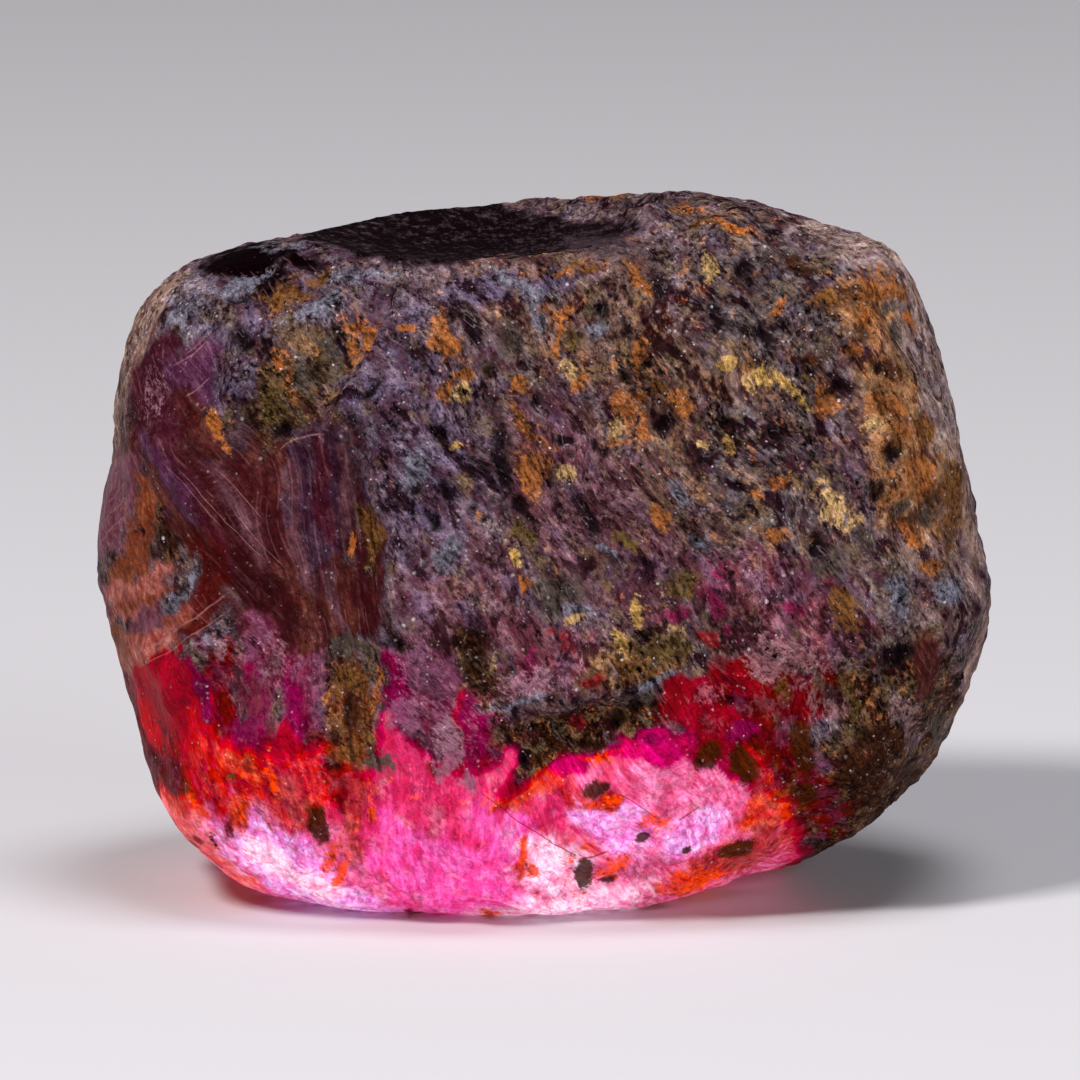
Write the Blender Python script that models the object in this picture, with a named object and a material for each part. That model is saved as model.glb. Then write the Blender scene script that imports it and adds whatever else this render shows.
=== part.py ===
"""A raw ruby crystal: one waterworn lump of corundum, resting on its flattened underside.

The crystal is modelled as distances from its middle. A rounded body is drawn from its outline as seen from
the front and slightly above, and fractures, hollows, pockets, flutes, steps and lumps are then cut into it.
X runs to the right, Y away from the front and Z up. Every size here is in millimetres.
"""

import itertools
import math

import bmesh
import bpy
import numpy as np
from mathutils import Vector

NODE_NAME = "ruby_crystal"
MILLIMETRE = 0.001
NOISE_GAIN = 1.6

# The outline is drawn on a plane tipped back by this angle, around the crystal's middle
VIEW_ELEVATION = math.radians(10)
MIDDLE_HEIGHT = 8.87
FRONT_DEPTH = 7.8
BACK_DEPTH = 7.7
FRONT_SQUARENESS = 3.1
BACK_SQUARENESS = 2.6

# Outline of the body on that plane, right and up from the middle, anticlockwise from the right-hand side
OUTLINE = [
    (11.92, 0.00), (11.68, 1.35), (11.27, 2.84), (10.73, 5.14), (10.32, 6.49), (9.82, 7.50), (9.20, 8.28),
    (8.30, 8.78), (6.95, 9.22), (5.32, 9.57), (3.70, 9.80), (2.08, 9.95), (0.46, 9.98), (-1.20, 9.90),
    (-2.80, 9.70), (-3.90, 9.45), (-5.22, 9.08), (-6.57, 8.75), (-8.19, 8.45), (-9.27, 8.05), (-10.35, 7.25),
    (-11.03, 6.22), (-11.45, 4.80), (-11.52, 3.60), (-11.62, 2.80), (-11.92, 1.55), (-12.03, 0.27),
    (-11.84, -1.08), (-11.49, -2.43), (-11.05, -4.05), (-10.68, -5.41), (-10.22, -6.62), (-9.27, -7.86),
    (-7.90, -8.95), (-5.50, -10.10), (-2.50, -10.60), (0.50, -10.35), (3.20, -9.50), (5.50, -8.66),
    (6.95, -8.16), (8.30, -7.51), (9.38, -6.76), (10.19, -5.95), (10.95, -4.59), (11.54, -3.24),
    (11.92, -2.16), (12.03, -1.08),
]

# Edges worn round where two surfaces meet: a higher number keeps the edge sharper
BASE_EDGE_SHARPNESS = 26
FRACTURE_EDGE_SHARPNESS = 60

# The underside is worn flat by this much, where the crystal faces down at least this steeply
BASE_WEAR = 0.12
LEAST_DOWNWARD = 0.05

# The dish in the top, a smooth fracture: its middle and reach seen from above, the width and wander of its
# rim, the height of its floor above the crystal's middle and the radius that its floor curves with
DISH_MIDDLE = (-2.0, -0.6)
DISH_REACH = 5.0
DISH_RIM_WIDTH = 1.1
DISH_RIM_WANDER = 0.55
DISH_FLOOR = 8.50
DISH_CURVE = 21.0

# Fractures of the back, each a ball-shaped scoop: the direction it lies in from the middle, the distance to
# its deepest point and the radius of the ball
BACK_FRACTURES = {
    "back_left": {"towards": (-0.72, 0.66, 0.30), "depth_at": 9.45, "radius": 30.0},
    "back_right": {"towards": (0.62, 0.76, -0.25), "depth_at": 9.20, "radius": 34.0},
}

# Hollows in the front, on the outline's plane: middle, half length, half width, turn of the long axis in
# degrees, depth, and how steep the wall is
FRONT_HOLLOWS = {
    "left_scar": ((-10.35, -0.15), 3.3, 1.45, 104, 0.42, 2.2),
    "draped_hollow": ((-6.75, -0.20), 4.6, 2.7, 97, 0.85, 2.2),
    "upper_left_dip": ((-9.60, 5.00), 2.0, 1.2, 62, 0.22, 2.0),
    "olive_pocket": ((-6.35, 4.75), 1.85, 1.25, 58, 0.50, 2.6),
    "ochre_pocket": ((-5.10, -3.95), 1.85, 1.05, 98, 0.42, 2.6),
    "brown_pocket": ((0.95, -4.72), 2.35, 1.10, 17, 0.42, 2.6),
    "dark_cleft": ((-1.75, -2.95), 1.55, 0.80, 115, 0.26, 2.0),
    "rust_cavity": ((0.75, 5.10), 1.40, 0.85, 118, 0.24, 2.0),
    "right_brow_pocket": ((6.60, 6.90), 1.60, 0.90, 148, 0.30, 2.0),
    "glowing_facet": ((0.90, -7.60), 2.60, 1.50, 155, 0.30, 2.0),
    "right_flank_pocket": ((7.40, -4.60), 1.90, 1.20, 60, 0.30, 2.0),
}

# Long soft ridges of the front, in the same terms, raised by their height
FRONT_RIDGES = {
    "scar_crest": ((-8.75, 1.10), 3.4, 0.95, 118, 0.50, 2.0),
    "fold_crest": ((-8.95, -2.75), 2.1, 0.75, 42, 0.30, 2.0),
    "middle_brow": ((-3.30, 3.10), 3.3, 1.35, 58, 0.34, 1.6),
    "lower_belly": ((-2.30, -6.90), 2.9, 1.60, 120, 0.30, 1.6),
    "ledge_above_brown": ((0.95, -3.15), 2.6, 0.80, 18, 0.32, 2.0),
    "right_shoulder": ((8.20, 5.60), 3.0, 1.40, 116, 0.30, 1.6),
}
FRONT_WARP = 0.30
FRONT_WARP_SIZE = 2.4

# The front's relief fades out between these distances behind the outline's plane
FRONT_FADE = (-1.2, -3.4)

# Flutes run down the draped hollow, bending towards the left as they fall
FLUTE_SPACING = 1.30
FLUTE_DEPTH = 0.15
FLUTE_LEAN = 0.18
FLUTE_LEAN_FROM = -1.5
FLUTE_BEND = 0.06
FLUTE_BEND_FROM = 4.0

# Grain of the crust: ridges that fall to the right across the front's middle and right
GRAIN_LEFT_EDGE = (-4.0, -1.5)
GRAIN_FALL = math.radians(55)
GRAIN_SIZE = (3.8, 1.75)
GRAIN_HEIGHT = 0.22

# Parting steps across the back, at right angles to the crystal's long axis
STEP_SPACING = 2.6
STEP_DEPTH = 0.26
STEP_WANDER = 0.5
STEP_WANDER_SIZE = 4.0
STEP_AXIS = (0.86, 0.15, 0.48)
BACK_FADE = (1.0, 4.5)

# Lumps all over: size across and height. They are lower near the outline and in the dish
LUMPS = [(5.2, 0.40), (2.3, 0.22), (1.4, 0.12)]
LUMPS_AT_OUTLINE = 0.45
OUTLINE_REACH = (0.5, 4.0)
LUMPS_IN_DISH = 0.25

# Faces along X, Y and Z of the box that the surface is laid out on, in proportion to the crystal
FACES_ALONG = (36, 25, 27)
HALF_BOX = (12.0, 8.2, 9.2)

SURFACE_COLOUR = (0.17, 0.085, 0.115, 1.0)
SURFACE_ROUGHNESS = 0.62


def clear_scene():
    for thing in list(bpy.data.objects):
        bpy.data.objects.remove(thing, do_unlink=True)


def smooth_step(low, high, value):
    share = np.clip((value - low) / (high - low), 0, 1)
    return share * share * (3 - 2 * share)


def mix(first, second, share):
    return first + (second - first) * share


def noise(points, seed):
    """Smooth noise from about -1 to 1, with features one unit across."""
    cell = np.floor(points).astype(np.int64)
    part = points - cell
    fade = part**3 * (part * (part * 6 - 15) + 10)
    total = np.zeros(len(points))
    for corner in itertools.product((0, 1), repeat=3):
        at = cell + corner
        mixed = (at[:, 0] * 73856093) ^ (at[:, 1] * 19349663) ^ (at[:, 2] * 83492791) ^ (seed * 2654435761)
        mixed = ((mixed ^ (mixed >> 15)) * 2246822519) & 0xFFFFFFFF
        mixed = ((mixed ^ (mixed >> 13)) * 3266489917) & 0xFFFFFFFF
        turn = (mixed & 0xFFFF) / 65536 * 2 * math.pi
        rise = ((mixed >> 16) & 0xFFFF) / 32768 - 1
        flat = np.sqrt(np.maximum(1 - rise**2, 0))
        slope = np.stack([flat * np.cos(turn), flat * np.sin(turn), rise], axis=1)
        weight = np.prod(np.where(corner, fade, 1 - fade), axis=1)
        total += weight * np.sum(slope * (part - corner), axis=1)
    return total * NOISE_GAIN


def outline_radius(angle):
    """The outline's distance from the middle at each angle, by a smooth closed curve through its points."""
    points = np.array(OUTLINE)
    at = np.arctan2(points[:, 1], points[:, 0])
    order = np.argsort(at)
    at, radius = at[order], np.hypot(points[:, 0], points[:, 1])[order]
    at = np.concatenate([at[-2:] - 2 * math.pi, at, at[:2] + 2 * math.pi])
    radius = np.concatenate([radius[-2:], radius, radius[:2]])
    slope = (radius[2:] - radius[:-2]) / (at[2:] - at[:-2])
    first = np.clip(np.searchsorted(at, angle, side="right") - 1, 1, len(at) - 3)
    gap = at[first + 1] - at[first]
    t = (angle - at[first]) / gap
    return (
        (2 * t**3 - 3 * t**2 + 1) * radius[first]
        + (t**3 - 2 * t**2 + t) * gap * slope[first - 1]
        + (3 * t**2 - 2 * t**3) * radius[first + 1]
        + (t**3 - t**2) * gap * slope[first]
    )


def on_view_plane(vectors):
    """Right, up and away of each vector, on the plane that the outline is drawn on."""
    sine, cosine = math.sin(VIEW_ELEVATION), math.cos(VIEW_ELEVATION)
    right = vectors[:, 0]
    up = vectors[:, 1] * sine + vectors[:, 2] * cosine
    away = vectors[:, 1] * cosine - vectors[:, 2] * sine
    return right, up, away


def nearer_of(first, second, sharpness):
    """The lesser of two distances, with the edge between them worn round."""
    return (first**-sharpness + second**-sharpness) ** (-1 / sharpness)


def body_radius(directions):
    right, up, away = on_view_plane(directions)
    outline = outline_radius(np.arctan2(up, right))
    depth = np.where(away < 0, FRONT_DEPTH, BACK_DEPTH)
    squareness = np.where(away < 0, FRONT_SQUARENESS, BACK_SQUARENESS)
    across = np.hypot(right, up) / outline
    return (across**squareness + (np.abs(away) / depth) ** squareness) ** (-1 / squareness)


def cut_back_fractures(radius, directions):
    """Stops each direction at the near side of the fracture's ball."""
    for fracture in BACK_FRACTURES.values():
        towards = np.array(fracture["towards"]) / np.linalg.norm(fracture["towards"])
        centre = towards * (fracture["depth_at"] + fracture["radius"])
        along = directions @ centre
        inside = along**2 - (centre @ centre - fracture["radius"] ** 2)
        near = along - np.sqrt(np.maximum(inside, 0))
        beyond = radius * 3
        meets = (inside > 0) & (along > 0)
        radius = nearer_of(radius, np.where(meets, near, beyond), FRACTURE_EDGE_SHARPNESS)
    return radius


def dish_share(points):
    """1 inside the top dish and 0 away from it."""
    out = np.hypot(points[:, 0] - DISH_MIDDLE[0], points[:, 1] - DISH_MIDDLE[1])
    out = out + DISH_RIM_WANDER * noise(points / FRONT_WARP_SIZE, 31)
    inside = smooth_step(DISH_REACH + DISH_RIM_WIDTH / 2, DISH_REACH - DISH_RIM_WIDTH / 2, out)
    return np.where(points[:, 2] > 0, inside, 0)


def cut_dish(radius, directions):
    points = directions * radius[:, None]
    out = np.hypot(points[:, 0] - DISH_MIDDLE[0], points[:, 1] - DISH_MIDDLE[1])
    floor = DISH_FLOOR + out**2 / (2 * DISH_CURVE)
    cut = radius * np.minimum(floor / np.maximum(points[:, 2], 1), 1)
    return mix(radius, cut, dish_share(points))


def oval_share(right, up, oval):
    """0 outside an oval on the view plane and 1 deep inside it."""
    middle, half_length, half_width, turn, _, steepness = oval
    cosine, sine = math.cos(math.radians(turn)), math.sin(math.radians(turn))
    along = ((right - middle[0]) * cosine + (up - middle[1]) * sine) / half_length
    across = ((up - middle[1]) * cosine - (right - middle[0]) * sine) / half_width
    return np.clip(1 - (along**2 + across**2) ** (steepness / 2), 0, 1)


def flutes(right, up):
    """Height of the flutes: rounded crests with narrow grooves between them."""
    flow = right + FLUTE_LEAN * (up - FLUTE_LEAN_FROM) + FLUTE_BEND * (up - FLUTE_BEND_FROM) ** 2
    crest = np.abs(np.cos(math.pi * flow / FLUTE_SPACING))
    return FLUTE_DEPTH * (crest - 0.5) * oval_share(right, up, FRONT_HOLLOWS["draped_hollow"]) ** 0.5


def crust_grain(right, up, away):
    """Height of the crust's slanting grain."""
    along = right * math.cos(GRAIN_FALL) - up * math.sin(GRAIN_FALL)
    across = right * math.sin(GRAIN_FALL) + up * math.cos(GRAIN_FALL)
    streaks = np.stack([along / GRAIN_SIZE[0], across / GRAIN_SIZE[1], away / GRAIN_SIZE[0]], axis=1)
    crest = 0.5 - 2 * np.abs(noise(streaks, 13))
    return GRAIN_HEIGHT * crest * smooth_step(*GRAIN_LEFT_EDGE, right)


def front_relief(points):
    right, up, away = on_view_plane(points)
    right = right + FRONT_WARP * noise(points / FRONT_WARP_SIZE, 11)
    up = up + FRONT_WARP * noise(points / FRONT_WARP_SIZE, 12)
    height = flutes(right, up) + crust_grain(right, up, away)
    for oval in FRONT_HOLLOWS.values():
        height -= oval[4] * oval_share(right, up, oval)
    for oval in FRONT_RIDGES.values():
        height += oval[4] * oval_share(right, up, oval) ** 1.5
    return height * smooth_step(*FRONT_FADE, away)


def back_steps(points):
    """Height of the parting steps across the back: a slow rise and a sharp drop."""
    axis = np.array(STEP_AXIS) / np.linalg.norm(STEP_AXIS)
    along = (points @ axis + STEP_WANDER * noise(points / STEP_WANDER_SIZE, 21)) / STEP_SPACING
    _, _, away = on_view_plane(points)
    return STEP_DEPTH * (along % 1 - 0.5) * smooth_step(*BACK_FADE, away)


def lumps(points):
    height = sum(height * noise(points / size, seed) for seed, (size, height) in enumerate(LUMPS))
    _, _, away = on_view_plane(points)
    height *= mix(LUMPS_AT_OUTLINE, 1, smooth_step(*OUTLINE_REACH, np.abs(away)))
    return height * mix(1, LUMPS_IN_DISH, dish_share(points))


def crystal_points(directions):
    """Points of the surface in these directions from the middle."""
    radius = cut_back_fractures(body_radius(directions), directions)
    points = directions * radius[:, None]
    radius = radius + (front_relief(points) + back_steps(points)) * (1 - dish_share(points)) + lumps(points)
    radius = cut_dish(radius, directions)
    downward = np.maximum(-directions[:, 2], LEAST_DOWNWARD)
    radius = nearer_of(radius, MIDDLE_HEIGHT / downward, BASE_EDGE_SHARPNESS)
    points = directions * radius[:, None]
    points[:, 2] = np.maximum(points[:, 2], BASE_WEAR - MIDDLE_HEIGHT)
    return points


def box_grid():
    """A box with its sides cut into faces of about one size, which the surface is laid out on."""
    grid = bmesh.new()
    bmesh.ops.create_cube(grid, size=2)
    for axis, count in enumerate(FACES_ALONG):
        along = [e for e in grid.edges if abs(e.verts[0].co[axis] - e.verts[1].co[axis]) > 1]
        bmesh.ops.subdivide_edges(grid, edges=along, cuts=count - 1, use_grid_fill=True)
    return grid


def surface_material():
    material = bpy.data.materials.new("raw_ruby")
    material.use_nodes = True
    shader = material.node_tree.nodes["Principled BSDF"]
    shader.inputs["Base Color"].default_value = SURFACE_COLOUR
    shader.inputs["Roughness"].default_value = SURFACE_ROUGHNESS
    shader.inputs["Metallic"].default_value = 0.0
    return material


def make_crystal():
    grid = box_grid()
    corners = np.array([v.co[:] for v in grid.verts])
    directions = np.tan(corners * math.pi / 4) * HALF_BOX
    directions /= np.linalg.norm(directions, axis=1)[:, None]
    points = crystal_points(directions)
    low, high = points.min(axis=0), points.max(axis=0)
    base_middle = np.array([(low[0] + high[0]) / 2, (low[1] + high[1]) / 2, low[2]])
    for vertex, point in zip(grid.verts, (points - base_middle) * MILLIMETRE):
        vertex.co = Vector(point)
    bmesh.ops.triangulate(grid, faces=grid.faces)
    bmesh.ops.recalc_face_normals(grid, faces=grid.faces)
    mesh = bpy.data.meshes.new(NODE_NAME)
    grid.to_mesh(mesh)
    grid.free()
    mesh.materials.append(surface_material())
    mesh.shade_smooth()
    crystal = bpy.data.objects.new(NODE_NAME, mesh)
    bpy.context.scene.collection.objects.link(crystal)


clear_scene()
make_crystal()
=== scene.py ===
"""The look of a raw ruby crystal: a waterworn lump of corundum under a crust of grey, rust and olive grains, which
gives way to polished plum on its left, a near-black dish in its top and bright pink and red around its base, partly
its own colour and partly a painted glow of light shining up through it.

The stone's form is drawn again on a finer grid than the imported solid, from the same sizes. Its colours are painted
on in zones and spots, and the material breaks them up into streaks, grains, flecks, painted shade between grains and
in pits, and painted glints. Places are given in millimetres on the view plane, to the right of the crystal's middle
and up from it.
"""
import itertools
import math

import bpy
import numpy as np
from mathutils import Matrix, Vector


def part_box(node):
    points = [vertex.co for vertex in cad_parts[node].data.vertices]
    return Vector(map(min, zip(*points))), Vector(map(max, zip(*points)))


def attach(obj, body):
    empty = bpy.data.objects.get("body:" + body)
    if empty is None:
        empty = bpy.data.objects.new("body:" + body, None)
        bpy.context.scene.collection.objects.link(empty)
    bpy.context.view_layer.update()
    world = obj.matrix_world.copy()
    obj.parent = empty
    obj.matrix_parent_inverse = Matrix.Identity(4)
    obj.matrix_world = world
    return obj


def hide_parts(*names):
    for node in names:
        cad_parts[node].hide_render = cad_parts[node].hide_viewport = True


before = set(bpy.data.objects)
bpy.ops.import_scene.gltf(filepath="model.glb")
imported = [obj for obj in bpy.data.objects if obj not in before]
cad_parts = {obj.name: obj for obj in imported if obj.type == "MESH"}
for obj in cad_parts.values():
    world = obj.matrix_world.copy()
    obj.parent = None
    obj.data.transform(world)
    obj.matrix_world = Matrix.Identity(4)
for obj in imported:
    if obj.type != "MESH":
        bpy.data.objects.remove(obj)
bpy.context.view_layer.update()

MILLIMETRE = 0.001
NOISE_GAIN = 1.6

# The form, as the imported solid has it
VIEW_ELEVATION = math.radians(10)
MIDDLE_HEIGHT = 8.87
FRONT_DEPTH = 7.8
BACK_DEPTH = 7.7
FRONT_SQUARENESS = 3.1
BACK_SQUARENESS = 2.6
OUTLINE = [
    (11.92, 0.00), (11.68, 1.35), (11.27, 2.84), (10.73, 5.14), (10.32, 6.49), (9.82, 7.50), (9.20, 8.28),
    (8.30, 8.78), (6.95, 9.22), (5.32, 9.57), (3.70, 9.80), (2.08, 9.95), (0.46, 9.98), (-1.20, 9.90),
    (-2.80, 9.70), (-3.90, 9.45), (-5.22, 9.08), (-6.57, 8.75), (-8.19, 8.45), (-9.27, 8.05), (-10.35, 7.25),
    (-11.03, 6.22), (-11.45, 4.80), (-11.52, 3.60), (-11.62, 2.80), (-11.92, 1.55), (-12.03, 0.27),
    (-11.84, -1.08), (-11.49, -2.43), (-11.05, -4.05), (-10.68, -5.41), (-10.22, -6.62), (-9.27, -7.86),
    (-7.90, -8.95), (-5.50, -10.10), (-2.50, -10.60), (0.50, -10.35), (3.20, -9.50), (5.50, -8.66),
    (6.95, -8.16), (8.30, -7.51), (9.38, -6.76), (10.19, -5.95), (10.95, -4.59), (11.54, -3.24),
    (11.92, -2.16), (12.03, -1.08),
]
BASE_EDGE_SHARPNESS = 26
FRACTURE_EDGE_SHARPNESS = 60
BASE_WEAR = 0.12
LEAST_DOWNWARD = 0.05
DISH_MIDDLE = (-2.0, -0.6)
DISH_REACH = 5.0
DISH_RIM_WIDTH = 1.1
DISH_RIM_WANDER = 0.55
DISH_FLOOR = 8.50
DISH_CURVE = 21.0
BACK_FRACTURES = {
    "back_left": {"towards": (-0.72, 0.66, 0.30), "depth_at": 9.45, "radius": 30.0},
    "back_right": {"towards": (0.62, 0.76, -0.25), "depth_at": 9.20, "radius": 34.0},
}
FRONT_HOLLOWS = {  # middle, half length, half width, turn in degrees, depth, wall steepness
    "left_scar": ((-10.35, -0.15), 3.3, 1.45, 104, 0.42, 2.2),
    "draped_hollow": ((-6.75, -0.20), 4.6, 2.7, 97, 0.85, 2.2),
    "upper_left_dip": ((-9.60, 5.00), 2.0, 1.2, 62, 0.22, 2.0),
    "olive_pocket": ((-6.35, 4.75), 1.85, 1.25, 58, 0.50, 2.6),
    "ochre_pocket": ((-5.10, -3.95), 1.85, 1.05, 98, 0.42, 2.6),
    "brown_pocket": ((0.95, -4.72), 2.35, 1.10, 17, 0.42, 2.6),
    "dark_cleft": ((-1.75, -2.95), 1.55, 0.80, 115, 0.26, 2.0),
    "rust_cavity": ((0.75, 5.10), 1.40, 0.85, 118, 0.24, 2.0),
    "right_brow_pocket": ((6.60, 6.90), 1.60, 0.90, 148, 0.30, 2.0),
    "glowing_facet": ((0.90, -7.60), 2.60, 1.50, 155, 0.30, 2.0),
    "right_flank_pocket": ((7.40, -4.60), 1.90, 1.20, 60, 0.30, 2.0),
}
FRONT_RIDGES = {
    "scar_crest": ((-8.75, 1.10), 3.4, 0.95, 118, 0.50, 2.0),
    "fold_crest": ((-8.95, -2.75), 2.1, 0.75, 42, 0.30, 2.0),
    "middle_brow": ((-3.30, 3.10), 3.3, 1.35, 58, 0.34, 1.6),
    "lower_belly": ((-2.30, -6.90), 2.9, 1.60, 120, 0.30, 1.6),
    "ledge_above_brown": ((0.95, -3.15), 2.6, 0.80, 18, 0.32, 2.0),
    "right_shoulder": ((8.20, 5.60), 3.0, 1.40, 116, 0.30, 1.6),
}
FRONT_WARP = 0.30
FRONT_WARP_SIZE = 2.4
FRONT_FADE = (-1.2, -3.4)
FLUTE_SPACING = 1.30
FLUTE_DEPTH = 0.15
FLUTE_LEAN = 0.18
FLUTE_LEAN_FROM = -1.5
FLUTE_BEND = 0.06
FLUTE_BEND_FROM = 4.0
GRAIN_LEFT_EDGE = (-4.0, -1.5)
GRAIN_FALL = math.radians(55)
GRAIN_SIZE = (3.8, 1.75)
GRAIN_HEIGHT = 0.22
STEP_SPACING = 2.6
STEP_DEPTH = 0.26
STEP_WANDER = 0.5
STEP_WANDER_SIZE = 4.0
STEP_AXIS = (0.86, 0.15, 0.48)
BACK_FADE = (1.0, 4.5)
LUMPS = [(5.2, 0.40), (2.3, 0.22), (1.4, 0.12)]
LUMPS_AT_OUTLINE = 0.45
OUTLINE_REACH = (0.5, 4.0)
LUMPS_IN_DISH = 0.25
HALF_BOX = (12.0, 8.2, 9.2)

# The fine surface
FACES_ALONG = (190, 62, 145)
CRUST_GRAIN_SIZE = (0.55, 0.95, 0.55)
CRUST_GRAIN_HEIGHT = 0.16
PIT_SPACING = 1.35
PIT_SHARE = 0.42
PIT_RADIUS = (0.22, 0.42)
PIT_DEPTH = 0.22
STREAK_SIZE = (0.42, 2.1, 0.42)
STREAK_HEIGHT = 0.09
PLEAT_SIZE = (0.34, 4.5, 0.6)
PLEAT_HEIGHT = 0.05
BASE_MARGIN = (0.02, 0.6)
FLOW_WANDER = 0.35
FLOW_WANDER_SIZE = 2.6
DRAPE_FALL = math.radians(81)

# Where the painted front gives way to the hidden sides, and how far its edges wander
PAINTED_FRONT = (0.28, 0.04)
FRONT_LIMIT = (6.5, 5.0)
EDGE_WANDERS = [(1.15, 0.24), (0.42, 0.14)]
ZONE_EDGE = (1.25, 0.75)
BAND_EDGE = (1.4, 0.5)
BAND_FEATHER = 0.6
DUST_EDGE = (1.4, 0.1)
FIRM_EDGE = 0.75
FIRM_WANDER = 0.45
COVERING_SHARE = (0.15, 0.45)
LEAST_SHARE = 0.05
COLOUR_MARGIN = 0.3
FEATHERS = [((0.26, 1.2, 0.26), 0.26), ((0.55, 2.2, 0.55), 0.24), ((1.1, 1.6, 1.1), 0.14)]

# The glow is painted light that the stone gives off. The bright pink, red, lavender and white kinds of the base are
# partly the stone's own colour and partly painted light shining up through it.
KINDS = {  # ground, vein, share of vein, gloss, glow, grit, rust flecks
    "grey_crust": ((70, 50, 54), (124, 106, 112), 0.42, 0.10, 0.0, 1.0, 0.25),
    "white_crust": ((72, 56, 62), (146, 134, 142), 0.50, 0.10, 0.0, 1.0, 0.05),
    # The mauve sheen is a painted sheen on the polished plum on the left.
    "mauve_sheen": ((66, 31, 38), (106, 72, 78), 0.36, 0.70, 0.0, 0.30, 0.0),
    "lilac_crust": ((52, 35, 46), (120, 104, 118), 0.46, 0.15, 0.0, 1.0, 0.12),
    "mauve_crust": ((78, 42, 52), (130, 96, 104), 0.42, 0.15, 0.0, 0.9, 0.2),
    "brown_crust": ((68, 44, 40), (124, 99, 88), 0.44, 0.10, 0.0, 1.0, 0.32),
    "blue_crust": ((50, 36, 38), (118, 106, 108), 0.42, 0.15, 0.0, 1.0, 0.3),
    "rust_crust": ((134, 84, 50), (184, 136, 94), 0.46, 0.10, 0.0, 0.9, 0.46),
    "tan_crust": ((124, 95, 84), (168, 142, 130), 0.45, 0.05, 0.0, 0.8, 0.18),
    "silver_crust": ((80, 56, 50), (146, 127, 120), 0.46, 0.15, 0.0, 1.0, 0.18),
    "plum": ((54, 12, 24), (88, 46, 55), 0.3, 0.65, 0.0, 0.30, 0.02),
    "purple": ((66, 26, 52), (108, 70, 94), 0.32, 0.75, 0.0, 0.25, 0.0),
    "maroon": ((46, 8, 12), (76, 34, 35), 0.32, 0.80, 0.0, 0.22, 0.05),
    "red_brown": ((64, 20, 16), (100, 54, 44), 0.36, 0.60, 0.0, 0.35, 0.20),
    "wine": ((64, 6, 4), (84, 30, 25), 0.30, 0.75, 0.05, 0.25, 0.0),
    "scar_mauve": ((84, 36, 48), (116, 72, 86), 0.45, 0.70, 0.0, 0.20, 0.0),
    "scar_rust": ((96, 36, 12), (136, 72, 40), 0.42, 0.60, 0.0, 0.30, 0.30),
    "scar_pink": ((130, 58, 44), (178, 106, 96), 0.45, 0.60, 0.05, 0.30, 0.05),
    "near_black": ((6, 0, 2), (20, 9, 13), 0.20, 0.90, 0.0, 0.05, 0.0),
    "dish": ((11, 3, 6), (74, 60, 64), 0.25, 0.95, 0.0, 0.04, 0.0),
    "dark_olive": ((38, 13, 2), (76, 45, 22), 0.36, 0.30, 0.05, 0.9, 0.38),
    "olive_crust": ((62, 40, 22), (104, 80, 54), 0.42, 0.20, 0.0, 1.0, 0.36),
    "dark_red": ((88, 2, 0), (136, 36, 26), 0.36, 0.50, 0.35, 0.6, 0.10),
    "violet": ((96, 20, 44), (134, 72, 92), 0.38, 0.45, 0.15, 0.6, 0.0),
    "rose_crust": ((100, 44, 54), (150, 100, 108), 0.42, 0.20, 0.10, 0.9, 0.12),
    "crimson": ((134, 0, 18), (166, 22, 44), 0.32, 0.60, 0.42, 0.35, 0.0),
    "red": ((164, 0, 6), (196, 20, 28), 0.30, 0.60, 0.70, 0.30, 0.0),
    "red_mottle": ((164, 2, 0), (238, 66, 52), 0.42, 0.50, 0.7, 0.5, 0.0),
    "fire": ((214, 28, 4), (252, 112, 60), 0.42, 0.50, 0.72, 0.5, 0.0),
    "pink_edge": ((216, 60, 64), (250, 132, 132), 0.50, 0.50, 0.9, 0.40, 0.0),
    "pale_rim": ((130, 107, 98), (178, 155, 146), 0.46, 0.05, 0.0, 0.9, 0.15),
    "lilac_grey": ((68, 46, 62), (136, 117, 137), 0.46, 0.15, 0.0, 1.0, 0.12),
    "rose_grey": ((80, 42, 51), (126, 92, 101), 0.44, 0.15, 0.0, 0.9, 0.16),
    "dusk": ((38, 12, 26), (76, 50, 66), 0.34, 0.55, 0.0, 0.40, 0.0),
    "salmon": ((160, 40, 40), (232, 92, 86), 0.42, 0.50, 0.70, 0.5, 0.08),
    "wine_pink": ((104, 8, 46), (150, 46, 88), 0.38, 0.50, 0.32, 0.5, 0.0),
    "ochre_pocket": ((68, 24, 4), (124, 60, 20), 0.46, 0.30, 0.05, 0.8, 0.30),
    "magenta": ((172, 0, 74), (226, 54, 128), 0.36, 0.60, 0.65, 0.30, 0.0),
    "hot_pink": ((184, 26, 78), (222, 60, 114), 0.42, 0.60, 0.8, 0.25, 0.0),
    "pink": ((222, 54, 140), (246, 112, 196), 0.46, 0.60, 0.8, 0.22, 0.0),
    "pale_pink": ((204, 66, 114), (242, 134, 182), 0.48, 0.55, 0.8, 0.30, 0.0),
    "lavender": ((222, 112, 202), (246, 202, 250), 0.50, 0.60, 0.85, 0.25, 0.0),
    # The whitest kind marks the brightest spots of the painted glow.
    "white_glow": ((234, 150, 192), (252, 226, 242), 0.55, 0.60, 0.85, 0.20, 0.0),
}
DISH_KIND = "dish"

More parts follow.
